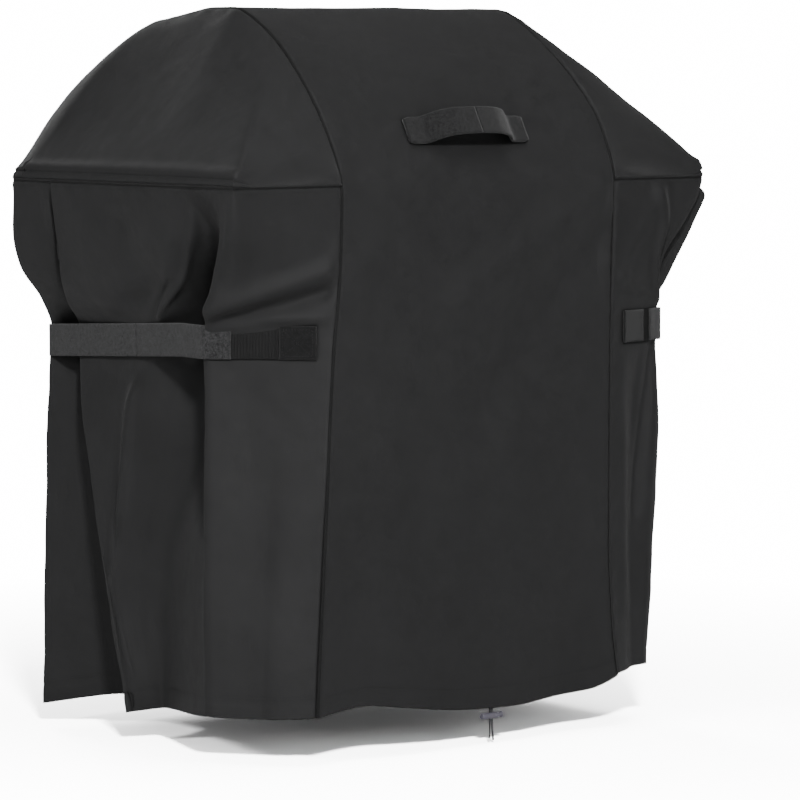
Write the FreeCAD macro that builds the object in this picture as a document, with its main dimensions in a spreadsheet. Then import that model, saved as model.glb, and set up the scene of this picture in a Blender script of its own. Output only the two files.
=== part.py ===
import FreeCAD, Part
import math
import os
import Sketcher

# Grill cover: a fitted cover of coated woven cloth, hanging on the hood and side shelves of a
# grill. The front faces -Y, +X is to the right as seen from the front, and +Z is up. The origin
# is on the inner face of the hood top, where the cover rests. Sketches give heights above the
# hem, and every sub-part's Placement lowers it by the inner height of the cover.

doc = FreeCAD.newDocument("grill_cover")
sheet = doc.addObject("Spreadsheet::Sheet", "Sizes")

SIZES = {
    # cover
    "half_strip": 277,
    "front": 300,
    "inner_height": 1043,
    "cloth": 2,
    "seam_width": 10,
    "seam_proud": 1,
    # hood profile, in the centre strip
    "lid_start": 790,
    "lid_radius": 410,
    "top_front": 54,
    "top_back": 20,
    "hood_back": 130,
    "hood_back_drop": 19,
    "back_radius": 330,
    "back_start": 800,
    # side shelf
    "shelf_reach": 182,
    "shelf_height": 783,
    "shelf_edge": 18,
    "shelf_back": 259,
    # waist, where the straps gather the skirts
    "waist_high": 585,
    "shoulder_out": 128,
    "left_shoulder_back": 145,
    "right_shoulder_back": 36,
    "waist_rear_out": 90,
    "waist_rear_gap": 10,
    # hem casing
    "casing_height": 30,
    "casing_depth": 14.5,
    # straps
    "strap_width": 50,
    "strap_thick": 2,
    "strap_gap": 0.4,
    "strap_level": 529,
    "strap_fall": 22,
    "anchor_start": 25,
    "anchor_length": 56,
    "left_pad_length": 105,
    "right_pad_length": 46,
    "left_tongue_lap": 42,
    "right_tongue_lap": 36,
    "tongue_side": 60,
    "rear_anchor_length": 58,
    # handle
    "handle_width": 45,
    "handle_thick": 6,
    "handle_height": 860,
    "handle_half": 116,
    "handle_patch": 34,
    "handle_rise": 34,
    "handle_neck": 14,
    # drawcord and cord lock
    "cord_size": 3,
    "cord_x": 35,
    "cord_spread": 2.2,
    "cord_inset": 9.5,
    "cord_level": 15,
    "cord_bend": 9,
    "lock_level": -27,
    "lock_radius": 5.5,
}
for row, (alias, size) in enumerate(SIZES.items(), start=1):
    sheet.set(f"A{row}", alias)
    sheet.set(f"B{row}", str(size))
    sheet.setAlias(f"B{row}", alias)
doc.recompute()


def size(alias):
    """A driving dimension as a number."""
    return float(sheet.get(alias))


def bound(text):
    """The expression with each alias written as a cell of the sheet."""
    names = sorted(SIZES, key=len, reverse=True)
    out = text
    for name in names:
        out = out.replace(name, f"<<{names.index(name)}>>")
    for name in names:
        out = out.replace(f"<<{names.index(name)}>>", f"Sizes.{name}")
    return out


def number(text):
    """The value of an expression of aliases, in millimetres."""
    return float(sheet.evalExpression(bound(text).replace("Sizes.", "")))


def new_body(label):
    body = doc.addObject("PartDesign::Body", label)
    body.Label = label
    return body


def plane(body, role):
    return [f for f in body.Origin.OriginFeatures if f.Role == role][0]


def pin_point(sketch, geometry, end, across, up):
    """Hold a sketch point at two expressions, measured from the sketch's origin."""
    for kind, text in (("DistanceX", across), ("DistanceY", up)):
        row = sketch.addConstraint(
            Sketcher.Constraint(kind, -1, 1, geometry, end, number(text))
        )
        sketch.setExpression(f"Constraints[{row}]", bound(text))


def outline(body, name, role, corners, level="0", arcs=None):
    """A closed sketch through corners, which are pairs of expressions.

    level is the sketch plane's offset. arcs gives, for the edge that starts at a corner, the
    expression of its radius; such an edge bulges to the left of its direction of travel if the
    radius is written with a leading "left ", and otherwise to the right.
    """
    arcs = arcs or {}
    sketch = body.newObject("Sketcher::SketchObject", f"{body.Name}_{name}")
    sketch.AttachmentSupport = [(plane(body, role), "")]
    sketch.MapMode = "FlatFace"
    sketch.setExpression("AttachmentOffset.Base.z", bound(level))
    points = [FreeCAD.Vector(number(a), number(b), 0) for a, b in corners]
    count = len(points)
    starts = {}
    for i, start in enumerate(points):
        end = points[(i + 1) % count]
        if i in arcs:
            side, radius = ("left", arcs[i][5:]) if arcs[i].startswith("left ") else ("right", arcs[i])
            middle = arc_middle(start, end, number(radius), side)
            row = sketch.addGeometry(Part.Arc(start, middle, end))
            first = 1 if sketch.getPoint(row, 1).distanceToPoint(start) < 1e-6 else 2
            starts[i] = (row, first, 3 - first)
            limit = sketch.addConstraint(Sketcher.Constraint("Radius", row, number(radius)))
            sketch.setExpression(f"Constraints[{limit}]", bound(radius))
        else:
            starts[i] = (sketch.addGeometry(Part.LineSegment(start, end)), 1, 2)
    for i, (across, up) in enumerate(corners):
        row, first, _ = starts[i]
        before, _, last = starts[(i - 1) % count]
        sketch.addConstraint(Sketcher.Constraint("Coincident", before, last, row, first))
        pin_point(sketch, row, first, across, up)
    return sketch


def arc_middle(start, end, radius, side):
    """The middle of a shallow arc from start to end that bulges to one side."""
    half = start.distanceToPoint(end) / 2
    rise = radius - math.sqrt(radius**2 - half**2)
    along = (end - start).normalize()
    out = FreeCAD.Vector(along.y, -along.x, 0) if side == "right" else FreeCAD.Vector(-along.y, along.x, 0)
    return (start + end) * 0.5 + out * rise


def pad(body, sketch, length, cut=False, reverse=False):
    """Pad or pocket a sketch by an expression."""
    kind = "Pocket" if cut else "Pad"
    feature = body.newObject(f"PartDesign::{kind}", f"{body.Name}_{kind}_{sketch.Name}")
    feature.Profile = sketch
    feature.Length = number(length)
    feature.setExpression("Length", bound(length))
    feature.Reversed = reverse
    sketch.Visibility = False
    return feature


def loft(body, sections, cut=False):
    """A ruled loft through sketches, added to the body or cut from it."""
    kind = "SubtractiveLoft" if cut else "AdditiveLoft"
    feature = body.newObject(f"PartDesign::{kind}", f"{body.Name}_{kind}")
    feature.Profile = sections[0]
    feature.Sections = sections[1:]
    feature.Ruled = True
    return feature


X, Y, Z = FreeCAD.Vector(1, 0, 0), FreeCAD.Vector(0, 1, 0), FreeCAD.Vector(0, 0, 1)
SIDES = {-1: "left", 1: "right"}
SUB_PARTS = []


def keep(body, across="0", back="0", up="0"):
    """Place a finished sub-part: lowered so that the hood's inner face is at Z = 0."""
    for letter, text in (("x", across), ("y", back), ("z", f"{up} - inner_height")):
        body.setExpression(f"Placement.Base.{letter}", bound(text))
    SUB_PARTS.append(body)
    return body


def keep_turned(part, x, y, height, axis, turn):
    """Place a finished sub-part at a height above the hem, turned about an axis."""
    part.Placement = FreeCAD.Placement(
        FreeCAD.Vector(x, y, height - size("inner_height")), FreeCAD.Rotation(axis, turn)
    )
    SUB_PARTS.append(part)
    return part


def plain_part(label, shape, place):
    """A sub-part whose shape is made directly, and then put at a placement."""
    feature = doc.addObject("Part::Feature", label)
    feature.Label = label
    feature.Shape = shape
    feature.Placement = place
    SUB_PARTS.append(feature)
    return feature


def shift(x, y, z, turn=0, axis=None):
    """A placement: turned about an axis, which is Z if none is given, and then moved."""
    return FreeCAD.Placement(FreeCAD.Vector(x, y, z), FreeCAD.Rotation(axis or Z, turn))


# ---------------------------------------------------------------- centre panel and its seams

TOP = "inner_height + cloth"
ARCH_ARCS = {1: "left lid_radius", 4: "left back_radius"}


def arch(inset, low):
    """The outline of the hood and the panel below it, set in from the outer cloth, seen from +X."""
    return [
        (f"-front + {inset}", low),
        (f"-front + {inset}", "lid_start"),
        ("-top_front", f"{TOP} - {inset}"),
        ("top_back", f"{TOP} - {inset}"),
        (f"hood_back - {inset} / 2", f"{TOP} - hood_back_drop - {inset}"),
        (f"front - cloth - {inset}", "back_start"),
        (f"front - cloth - {inset}", low),
    ]


def strip_skin(body, start, width, outer, inner):
    """A skin that follows the arch, from X = start over a width, between two insets."""
    shell = outline(body, "outer", "YZ_Plane", arch(outer, "0"), start, ARCH_ARCS)
    pad(body, shell, width)
    doc.recompute()
    hollow = outline(body, "inner", "YZ_Plane", arch(inner, "-1"), start, ARCH_ARCS)
    pad(body, hollow, width, cut=True, reverse=True)


def centre_panel():
    body = new_body("centre_panel")
    strip_skin(body, "-half_strip", "2 * half_strip", "0", "cloth")
    return keep(body)


def arc_seam(side, name):
    """The lapped seam along one edge of the centre panel, proud of the cloth."""
    body = new_body(f"{name}_arc_seam")
    start = "half_strip - seam_width" if side > 0 else "-half_strip"
    strip_skin(body, start, "seam_width", "(-seam_proud)", "0")
    return keep(body)


# ---------------------------------------------------------------- upper ends


def end_shelf(inset, low):
    """The upright edge over the side shelf, with a corner for each corner of the arch."""
    high = f"shelf_height + shelf_edge - {inset}"
    return [
        (f"-front + {inset}", low),
        (f"-front + {inset}", high),
        ("-front * 0.42", high),
        ("-front * 0.08", high),
        ("front * 0.34", high),
        (f"shelf_back - {inset}", high),
        (f"shelf_back - {inset}", low),
    ]


def end_gusset(side, name):
    """A sloping upper end, from the arched seam out to the edge of the side shelf."""
    body = new_body(f"{name}_end_gusset")
    sign = "" if side > 0 else "-"
    reach = "half_strip + shelf_reach"
    for inset, low, near, far in (
        ("0", "shelf_height", "half_strip", reach),
        ("cloth", "shelf_height - 5", "half_strip - 1", f"{reach} - cloth"),
    ):
        near_sketch = outline(body, f"arch_{inset}", "YZ_Plane", arch(inset, low), f"{sign}({near})", ARCH_ARCS)
        far_sketch = outline(body, f"shelf_{inset}", "YZ_Plane", end_shelf(inset, low), f"{sign}({far})")
        loft(body, [near_sketch, far_sketch], cut=inset != "0")
    return keep(body)


# ---------------------------------------------------------------- lower ends


def plan(side, out, back, rear_out, rear, inset="0"):
    """A skirt's outline seen from above: front seam, shoulder, rear corner, rear seam.

    out and back are the shoulder's reach beyond the front seam, sideways and backwards.
    """
    sign = "" if side > 0 else "-"
    edge = "half_strip" if inset == "0" else "half_strip - 5"
    return [
        (f"{sign}({edge})", f"-front + 1.4 * {inset}"),
        (f"{sign}(half_strip + {out} - {inset})", f"-front + {back} + {inset} / 2"),
        (f"{sign}(half_strip + {rear_out} - {inset})", f"{rear} - {inset}"),
        (f"{sign}({edge})", f"front - cloth - {inset}"),
    ]


def level_plan(side, level, inset="0"):
    """The skirt's outline at the hem, at the foot and head of the waist, or at the shelf."""
    rear_waist = "front - waist_rear_gap"
    if level == "shelf":
        return plan(side, "shelf_reach", "0", "shelf_reach", "shelf_back", inset)
    back = f"{SIDES[side]}_shoulder_back"
    return plan(side, "shoulder_out", back, "waist_rear_out", rear_waist, inset)


def side_skirt(side, name):
    """A lower end: wide at the shelf, and gathered in at the waist down to the hem."""
    body = new_body(f"{name}_side_skirt")
    levels = [("waist", "0"), ("waist", "waist_high"), ("shelf", "shelf_height")]
    for inset in ("0", "cloth"):
        sections = []
        for i, (level, height) in enumerate(levels):
            corners = level_plan(side, level, inset)
            if inset != "0":
                height = ("-1", height, "shelf_height + 1")[i]
            sections.append(outline(body, f"plan{i}_{inset}", "XY_Plane", corners, height))
        loft(body, sections, cut=inset != "0")
    return keep(body)


def shelf_seam(side, name):
    """The seam between an upper and a lower end, proud of the cloth at the shelf's level."""
    body = new_body(f"{name}_shelf_seam")
    rim = [(edge_x, y) for (edge_x, y) in level_plan(side, "shelf", "(-seam_proud)")]
    sign = "" if side > 0 else "-"
    rim[0] = (f"{sign}half_strip", rim[0][1])
    rim[3] = (f"{sign}half_strip", rim[3][1])
    pad(body, outline(body, "outer", "XY_Plane", rim, "shelf_height"), "seam_width")
    doc.recompute()
    cloth = level_plan(side, "shelf")
    inner_edge = f"{sign}(half_strip - 5)"
    rear_run = "5 * (front - cloth - shelf_back) / shelf_reach"
    cloth[0] = (inner_edge, cloth[0][1])
    cloth[3] = (inner_edge, f"{cloth[3][1]} + {rear_run}")
    hollow = outline(body, "inner", "XY_Plane", cloth, "shelf_height")
    pad(body, hollow, "seam_width", cut=True, reverse=True)
    return keep(body)


# ---------------------------------------------------------------- hem casings and drawcord


def casing_section(outer, sense):
    """A channel that closes on the panel's inner face: outer is that face's place."""
    inner = f"{outer} {sense} casing_depth"
    wall = f"{outer} {sense} (casing_depth - cloth)"
    top = "casing_height"
    return [
        (outer, "0"),
        (inner, "0"),
        (inner, top),
        (outer, top),
        (outer, f"{top} - cloth"),
        (wall, f"{top} - cloth"),
        (wall, "cloth"),
        (outer, "cloth"),
    ]


def straight_hem(name, outer, sense):
    body = new_body(name)
    section = casing_section(outer, sense)
    sketch = outline(body, "section", "YZ_Plane", section, "6 - half_strip")
    pad(body, sketch, "2 * (half_strip - 6)")
    if name == "front_hem":
        slot = [
            ("cord_x - 6", "cord_inset - 4 - front"),
            ("cord_x + 6", "cord_inset - 4 - front"),
            ("cord_x + 6", "cord_inset + 3 - front"),
            ("cord_x - 6", "cord_inset + 3 - front"),
        ]
        doc.recompute()
        pad(body, outline(body, "slot", "XY_Plane", slot), "cloth", cut=True, reverse=True)
    return keep(body)


def side_hem(side, name):
    """The casing along the foot of a skirt: a band with a tunnel right through it."""
    body = new_body(f"{name}_hem")
    outer = level_plan(side, "waist", "(cloth * 1.15)")
    inner = level_plan(side, "waist", "(cloth + casing_depth)")
    pad(body, outline(body, "band", "XY_Plane", [*outer, *reversed(inner)]), "casing_height")
    doc.recompute()
    wall = level_plan(side, "waist", "(2 * cloth)")
    back = level_plan(side, "waist", "casing_depth")
    tunnel = outline(body, "tunnel", "XY_Plane", [*wall, *reversed(back)], "cloth")
    pad(body, tunnel, "casing_height - 2 * cloth", cut=True, reverse=True)
    return keep(body)


def tube(points, radii, thickness):
    """A round tube along straight runs joined by tangent arcs, one radius for each bend."""
    edges = []
    at = points[0]
    for before, corner, after, radius in zip(points, points[1:], points[2:], radii):
        a, b = (corner - before).normalize(), (after - corner).normalize()
        half = a.getAngle(b) / 2
        reach = radius * math.tan(half)
        first, last = corner - a * reach, corner + b * reach
        middle = corner + (b - a).normalize() * (radius / math.cos(half) - radius)
        edges.append(Part.LineSegment(at, first).toShape())
        edges.append(Part.Arc(first, middle, last).toShape())
        at = last
    edges.append(Part.LineSegment(at, points[-1]).toShape())
    path = Part.Wire(edges)
    start = (points[1] - points[0]).normalize()
    ring = Part.Wire(Part.Circle(points[0], start, thickness / 2).toShape())
    solid = path.makePipeShell([ring], True, False)
    expected = math.pi * thickness**2 / 4 * path.Length
    print(f"tube: length {path.Length:.1f} mm, volume {solid.Volume / expected:.3f} of expected,"
          f" radii {[round(r, 1) for r in radii]}")
    return solid


def natural_radii(points):
    """The largest arcs that two neighbouring runs leave room for."""
    radii = []
    for before, corner, after in zip(points, points[1:], points[2:]):
        a, b = corner - before, after - corner
        radii.append(0.45 * min(a.Length, b.Length) / math.tan(a.getAngle(b) / 2))
    return radii


def drawcord():
    """The cord inside the casings: once round the hem, with both ends at the exit slot."""
    front = number("cord_inset - front")
    level = size("cord_level")
    gap = size("cord_spread") + 20

    def half_round(side):
        """The three bends at one end of the cover, from the front to the rear."""
        (seam_x, _), *corners = level_plan(side, "waist", "(cord_inset - 0.5)")
        bends = [(number(a), number(b)) for a, b in corners]
        return [(number(seam_x), front), *bends]

    route = [(size("cord_x") + gap, front), *half_round(1), *reversed(half_round(-1)),
             (size("cord_x") - gap, front)]
    points = [FreeCAD.Vector(x, y, level) for x, y in route]
    bends = [size("cord_bend")] * (len(points) - 2)
    plain_part("drawcord", tube(points, bends, size("cord_size")), shift(0, 0, -size("inner_height")))


def cord_tail(side, name, sway, end):
    """One free end: out of the casing, down through the cord lock, and hanging."""
    x, spread, level = size("cord_x"), size("cord_spread"), size("cord_level")
    y = number("cord_inset - front")
    route = [(x + side * (spread + 20), y, level), (x + side * spread, y, level),
             (x + side * (spread + 0.3), y - 0.2, -23), (x + side * (spread - 0.2), y + 0.2, -44),
             (x + side * spread + sway, y - 1.5, end)]
    points = [FreeCAD.Vector(*p) for p in route]
    shape = tube(points, natural_radii(points), size("cord_size"))
    plain_part(f"drawcord_tail_{name}", shape, shift(0, 0, -size("inner_height")))


# ---------------------------------------------------------------- cord lock

LOCK_BACK = "cord_inset - front"


def turned(body, name, steps):
    """A round solid about X: steps are pairs of an X place and a radius, from left to right."""
    corners = [(steps[0][0], "0"), *steps, (steps[-1][0], "0")]
    sketch = outline(body, name, "XZ_Plane", corners)
    feature = body.newObject("PartDesign::Revolution", f"{body.Name}_{name}")
    feature.Profile = sketch
    feature.ReferenceAxis = (sketch, ["H_Axis"])
    feature.Angle = 360
    return feature


def slot_through(body, left, right, half_depth):
    """A slot along Z through a round solid, between two X places."""
    doc.recompute()
    corners = [(left, f"-{half_depth}"), (right, f"-{half_depth}"), (right, half_depth), (left, half_depth)]
    sketch = outline(body, "slot", "XY_Plane", corners, "-2 * lock_radius")
    return pad(body, sketch, "4 * lock_radius", cut=True, reverse=True)


def cord_lock():
    """Barrel, spring and push button. The cord runs through a slot across all of them."""
    barrel = new_body("cord_lock_barrel")
    turned(barrel, "outside", [("-19", "lock_radius - 1"), ("-17.5", "lock_radius"),
                               ("11.5", "lock_radius"), ("13", "lock_radius - 0.7")])
    doc.recompute()
    bore = outline(barrel, "bore", "XZ_Plane", [("-16", "0"), ("-16", "3.9"), ("13", "3.9"), ("13", "0")])
    groove = barrel.newObject("PartDesign::Groove", "cord_lock_barrel_bore")
    groove.Profile = bore
    groove.ReferenceAxis = (bore, ["H_Axis"])
    groove.Angle = 360
    slot_through(barrel, "-5", "5", "2.6")
    button = new_body("cord_lock_button")
    turned(button, "outside", [("-9", "3.6"), ("18", "3.6"), ("18.6", "lock_radius - 1"),
                               ("20.5", "lock_radius + 0.4"), ("22", "lock_radius - 0.6")])
    slot_through(button, "-4.2", "9", "2.4")
    for body in (barrel, button):
        keep(body, across="cord_x", back=LOCK_BACK, up="lock_level")
    coils, wire, coil_radius, length = 4, 0.6, 2.6, 6.2
    spiral = Part.makeHelix(length / coils, length, coil_radius)
    ring = [math.radians(45 * k) for k in range(9)]
    section = Part.makePolygon([FreeCAD.Vector(coil_radius + wire / 2 * math.cos(a), 0, wire / 2 * math.sin(a))
                                for a in ring])
    spring = Part.Wire(spiral).makePipeShell([section], True, True)
    level = size("lock_level") - size("inner_height")
    plain_part("cord_lock_spring", spring, shift(size("cord_x") - 15.6, number(LOCK_BACK), level, 90, Y))


# ---------------------------------------------------------------- handle


def lid_place(height):
    """The lid's surface at a height above the hem: its Y, and the slope of its normal."""
    start = FreeCAD.Vector(-size("front"), size("lid_start"), 0)
    end = FreeCAD.Vector(-size("top_front"), number(TOP), 0)
    chord = end - start
    radius = size("lid_radius")
    out = FreeCAD.Vector(-chord.y, chord.x, 0).normalize()
    drop = math.sqrt(radius**2 - (chord.Length / 2) ** 2)
    centre = (start + end) * 0.5 - out * drop
    back = centre.x - math.sqrt(radius**2 - (height - centre.y) ** 2)
    slope = math.degrees(math.atan2(height - centre.y, centre.x - back))
    return back, slope


def handle_body(label, corners, arcs, width):
    """A piece of the handle: a profile seen along the lid's slope, of a width up the slope."""
    body = new_body(label)
    sketch = outline(body, "profile", "XZ_Plane", corners, f"-({width}) / 2", arcs)
    pad(body, sketch, width)
    back, slope = lid_place(size("handle_height"))
    return keep_turned(body, 0, back, size("handle_height"), X, 90 - slope)


def handle():
    """The loop between two sewn ends. Heights are above the lid's surface, along its normal."""
    thick, half, patch = "handle_thick", "handle_half", "handle_patch"
    start = f"({half} - {patch})"
    neck = "12"
    loop = [(f"-{start} + {neck}", "handle_neck"), ("0", "handle_rise"), (f"{start} - {neck}", "handle_neck"),
            (f"{start} - {neck}", f"handle_neck + {thick}"), ("0", f"handle_rise + {thick}"),
            (f"-{start} + {neck}", f"handle_neck + {thick}")]
    arcs = {0: "left 180", 1: "left 180", 3: "180", 4: "180"}
    handle_body("handle_loop", loop, arcs, "handle_width")
    for side, name in ((-1, "left"), (1, "right")):
        sign = "" if side > 0 else "-"
        foot = [(f"{sign}{half}", "0.8"), (f"{sign}{start}", "0.8"),
                (f"{sign}({start} - {neck} + 0.3)", "handle_neck"),
                (f"{sign}({start} - {neck} + 0.3)", f"handle_neck + {thick}"),
                (f"{sign}({start} + 4)", "4.8"), (f"{sign}{half}", "4.8")]
        handle_body(f"handle_{name}_end", foot, {}, "handle_width")
        stitching = box_stitch(number(f"{patch} - 9"), number("handle_width - 8"), 1.2)
        middle = shift(side * number(f"{start} + {patch} / 2 + 1.5"), 0, 4.8, -90, X)
        plain_part(f"handle_{name}_stitching", stitching, SUB_PARTS[-1].Placement.multiply(middle))
    inner = [(f"-{half}", "-4.6"), (f"{half}", "-4.6"), (f"{half}", "-3"), (f"-{half}", "-3")]
    handle_body("handle_backing", inner, {}, "handle_width")


def box_stitch(width, height, line):
    """A square of stitching with an X in it, in the XZ plane, standing proud towards -Y."""
    proud = 0.6

    def bar(a, b):
        along = b - a
        turn = math.degrees(math.atan2(along.z, along.x))
        solid = Part.makeBox(along.Length, proud, line)
        solid.translate(FreeCAD.Vector(0, -proud, -line / 2))
        solid.rotate(FreeCAD.Vector(), Y, -turn)
        solid.translate(a)
        return solid

    w, h = width / 2, height / 2
    corners = [FreeCAD.Vector(*p) for p in ((-w, 0, -h), (w, 0, -h), (w, 0, h), (-w, 0, h))]
    bars = [bar(corners[i], corners[(i + 1) % 4]) for i in range(4)]
    bars += [bar(corners[0], corners[2]), bar(corners[1], corners[3])]
    return bars[0].multiFuse(bars[1:]).removeSplitter()


# ---------------------------------------------------------------- straps


def waist_points(side):
    """Front seam, shoulder and rear corner of the waist, outside the cloth."""
    return [FreeCAD.Vector(number(a), number(b), 0) for a, b in level_plan(side, "waist")[:3]]


def strap_piece(label, start, end, begin, length, thick, off, low, fall="0"):
    """A flat strip that stands on edge beside the line from start to end.

    begin and length are along that line, off is its distance out from the line, and fall is how
    much lower its far end hangs.
    """
    body = new_body(label)
    corners = [("0", "0"), (length, f"-({fall})"), (length, f"strap_width - ({fall})"), ("0", "strap_width")]
    out_is_left = start.x < 0
    line = (end - start).normalize()
    turn = math.degrees(math.atan2(line.y, line.x))
    sketch = outline(body, "face", "XZ_Plane", corners, off if not out_is_left else f"-({off}) - ({thick})")
    pad(body, sketch, thick)
    place = start + line * number(begin)
    return keep_turned(body, place.x, place.y, number(low), Z, turn)


def tongue(side, name, seam, shoulder, corner):
    """The strap's free end: bent round the shoulder, with its tip on the hook pad."""
    front, rear = (shoulder - seam).normalize(), (corner - shoulder).normalize()
    outward = FreeCAD.Vector(side, 0, 0)
    normals = [FreeCAD.Vector(-d.y, d.x, 0) for d in (front, rear)]
    normals = [n if n.dot(outward) > 0 else -n for n in normals]
    inner, outer = number("strap_thick + 2 * strap_gap"), number("2 * strap_thick + 2 * strap_gap")
    side_in, side_out = size("strap_gap"), number("strap_gap + strap_thick")

    def bend(front_off, rear_off):
        """Where the two offset lines meet."""
        a, b = shoulder + normals[0] * front_off, shoulder + normals[1] * rear_off
        across = front.cross(rear).z
        return a + front * ((b - a).cross(rear).z / across)

    tip = shoulder - front * size(f"{name}_tongue_lap")
    heel = shoulder + rear * size("tongue_side")
    points = [tip + normals[0] * inner, bend(inner, side_in), heel + normals[1] * side_in,
              heel + normals[1] * side_out, bend(outer, side_out), tip + normals[0] * outer]
    body = new_body(f"{name}_strap_tongue")
    corners = [(str(round(p.x, 4)), str(round(p.y, 4))) for p in points]
    pad(body, outline(body, "bend", "XY_Plane", corners), "strap_width")
    return keep(body, up="strap_level")


def strap(side, name):
    """One gathering strap: its front anchor and hook pad, its webbing, and its rear anchor."""
    seam, shoulder, corner = waist_points(side)
    rear_seam = FreeCAD.Vector(side * size("half_strip"), number("front - cloth"), 0)
    thick, gap, low = "strap_thick", "strap_gap", "strap_level"
    strap_piece(f"{name}_strap_hook_pad", seam, shoulder, "anchor_start + anchor_length + 0.5",
                f"{name}_pad_length", thick, gap, low)
    anchor = strap_piece(f"{name}_strap_anchor", seam, shoulder, "anchor_start", "anchor_length",
                         "strap_thick + 1", gap, low)
    stitched(anchor, f"{name}_anchor_stitching", side, number("strap_thick + 1 + strap_gap"))
    tongue(side, name, seam, shoulder, corner)
    webbing_length = f"{(corner - shoulder).Length:.4f} - tongue_side - 0.5"
    strap_piece(f"{name}_strap_webbing", shoulder, corner, "tongue_side + 0.5", webbing_length,
                thick, gap, low, "strap_fall")
    strap_piece(f"{name}_strap_rear_anchor", corner, rear_seam, "3", "rear_anchor_length",
                thick, gap, "strap_level - strap_fall")


def stitched(anchor, label, side, off):
    """Box and X stitching on the outer face of an anchor patch."""
    stitching = box_stitch(size("anchor_length") - 8, size("strap_width") - 8, 1.2)
    facing = -side
    middle = shift(size("anchor_length") / 2, facing * off, size("strap_width") / 2, 90 * (1 + facing))
    plain_part(label, stitching, anchor.Placement.multiply(middle))


# ---------------------------------------------------------------- the whole cover

centre_panel()
for side, name in SIDES.items():
    arc_seam(side, name)
    end_gusset(side, name)
    side_skirt(side, name)
    shelf_seam(side, name)
    side_hem(side, name)
    strap(side, name)
straight_hem("front_hem", "cloth - front", "+")
straight_hem("rear_hem", "front - 2 * cloth", "-")
drawcord()
cord_tail(-1, "left", -1.5, -61)
cord_tail(1, "right", 1.2, -65)
cord_lock()
handle()
doc.recompute()

for item in doc.Objects:
    if {"Invalid", "Error"} & set(item.State):
        raise RuntimeError(f"{item.Name} did not compute: {item.State}")
for part in SUB_PARTS:
    if part.Shape.isNull() or not part.Shape.isValid() or not part.Shape.Solids:
        raise RuntimeError(f"{part.Label} has no valid solid")

os.makedirs("parts", exist_ok=True)
for part in SUB_PARTS:
    part.Shape.exportStep(f"parts/{part.Label}.step")
    low, high = part.Shape.BoundBox, part.Shape.Volume
    print(f"{part.Label}: {high / 1000:.1f} cm3, X {low.XMin:.1f}..{low.XMax:.1f},"
          f" Y {low.YMin:.1f}..{low.YMax:.1f}, Z {low.ZMin:.1f}..{low.ZMax:.1f}")
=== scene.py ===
"""The looks of the grill cover: cloth panels, straps, handle and drawcord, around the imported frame.

Tables are in millimetres: how far a point is out from the strip's side, how far back from the front,
and how high above the hem. Meshes are in metres in the row frame.
"""
import math

import bmesh
import bpy
import numpy as np
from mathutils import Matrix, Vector, noise


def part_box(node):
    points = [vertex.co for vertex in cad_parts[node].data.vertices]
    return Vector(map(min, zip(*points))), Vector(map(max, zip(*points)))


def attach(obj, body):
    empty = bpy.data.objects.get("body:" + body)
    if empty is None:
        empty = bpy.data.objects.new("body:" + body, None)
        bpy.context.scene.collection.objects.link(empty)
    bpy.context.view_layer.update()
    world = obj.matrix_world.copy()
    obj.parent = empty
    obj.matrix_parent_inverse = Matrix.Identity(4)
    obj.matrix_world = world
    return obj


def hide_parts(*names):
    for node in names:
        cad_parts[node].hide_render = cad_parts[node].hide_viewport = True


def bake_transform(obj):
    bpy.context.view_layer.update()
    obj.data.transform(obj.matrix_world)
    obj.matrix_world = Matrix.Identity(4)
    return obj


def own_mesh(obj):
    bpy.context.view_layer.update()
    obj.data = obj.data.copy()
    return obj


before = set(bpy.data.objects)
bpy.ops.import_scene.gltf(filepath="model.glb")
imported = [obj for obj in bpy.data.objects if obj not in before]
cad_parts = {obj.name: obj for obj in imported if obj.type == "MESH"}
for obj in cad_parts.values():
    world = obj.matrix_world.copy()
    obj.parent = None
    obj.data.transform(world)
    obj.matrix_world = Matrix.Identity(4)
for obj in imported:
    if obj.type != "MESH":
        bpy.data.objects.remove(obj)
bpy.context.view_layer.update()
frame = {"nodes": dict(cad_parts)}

HALF, FRONT, TALL = 277.0, -300.0, 1043.0  # the strip's half width, its front, and its height inside
LEFT, RIGHT = -1, 1
SIDES = {LEFT: "left", RIGHT: "right"}
NEAR_SEAM = (0.0, 1.2, 2.6, 4.6, 8.0)  # grid lines beside a seam
SHELF = 783.0
STRAP_MIDDLE = 554.0
STRIP_WIDTH = 548.0  # the strip's girth across, at which its columns are spaced
CROWN_HEIGHT = 1045.0
FRONT_ARC = (89.1, 660.8, 410.0, 161.6, 110.4)  # centre back, centre height, radius, first and last angle
REAR_ARC = (-25.5, 735.0, 330.0, 61.9, 11.4)
SEAM_DIP, SEAM_SOFT = 2.6, 2.6  # how deep and how wide the cloth is drawn in along a seam
HEM_LINE, HEM_DIP = 26.0, 0.7  # the hem's stitch line above the edge, and how deep it is drawn in
EDGE_STEP = (0, 1.5, 4, 9)  # grid lines beside a hem


# ---------------------------------------------------------------- curves and grids


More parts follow.
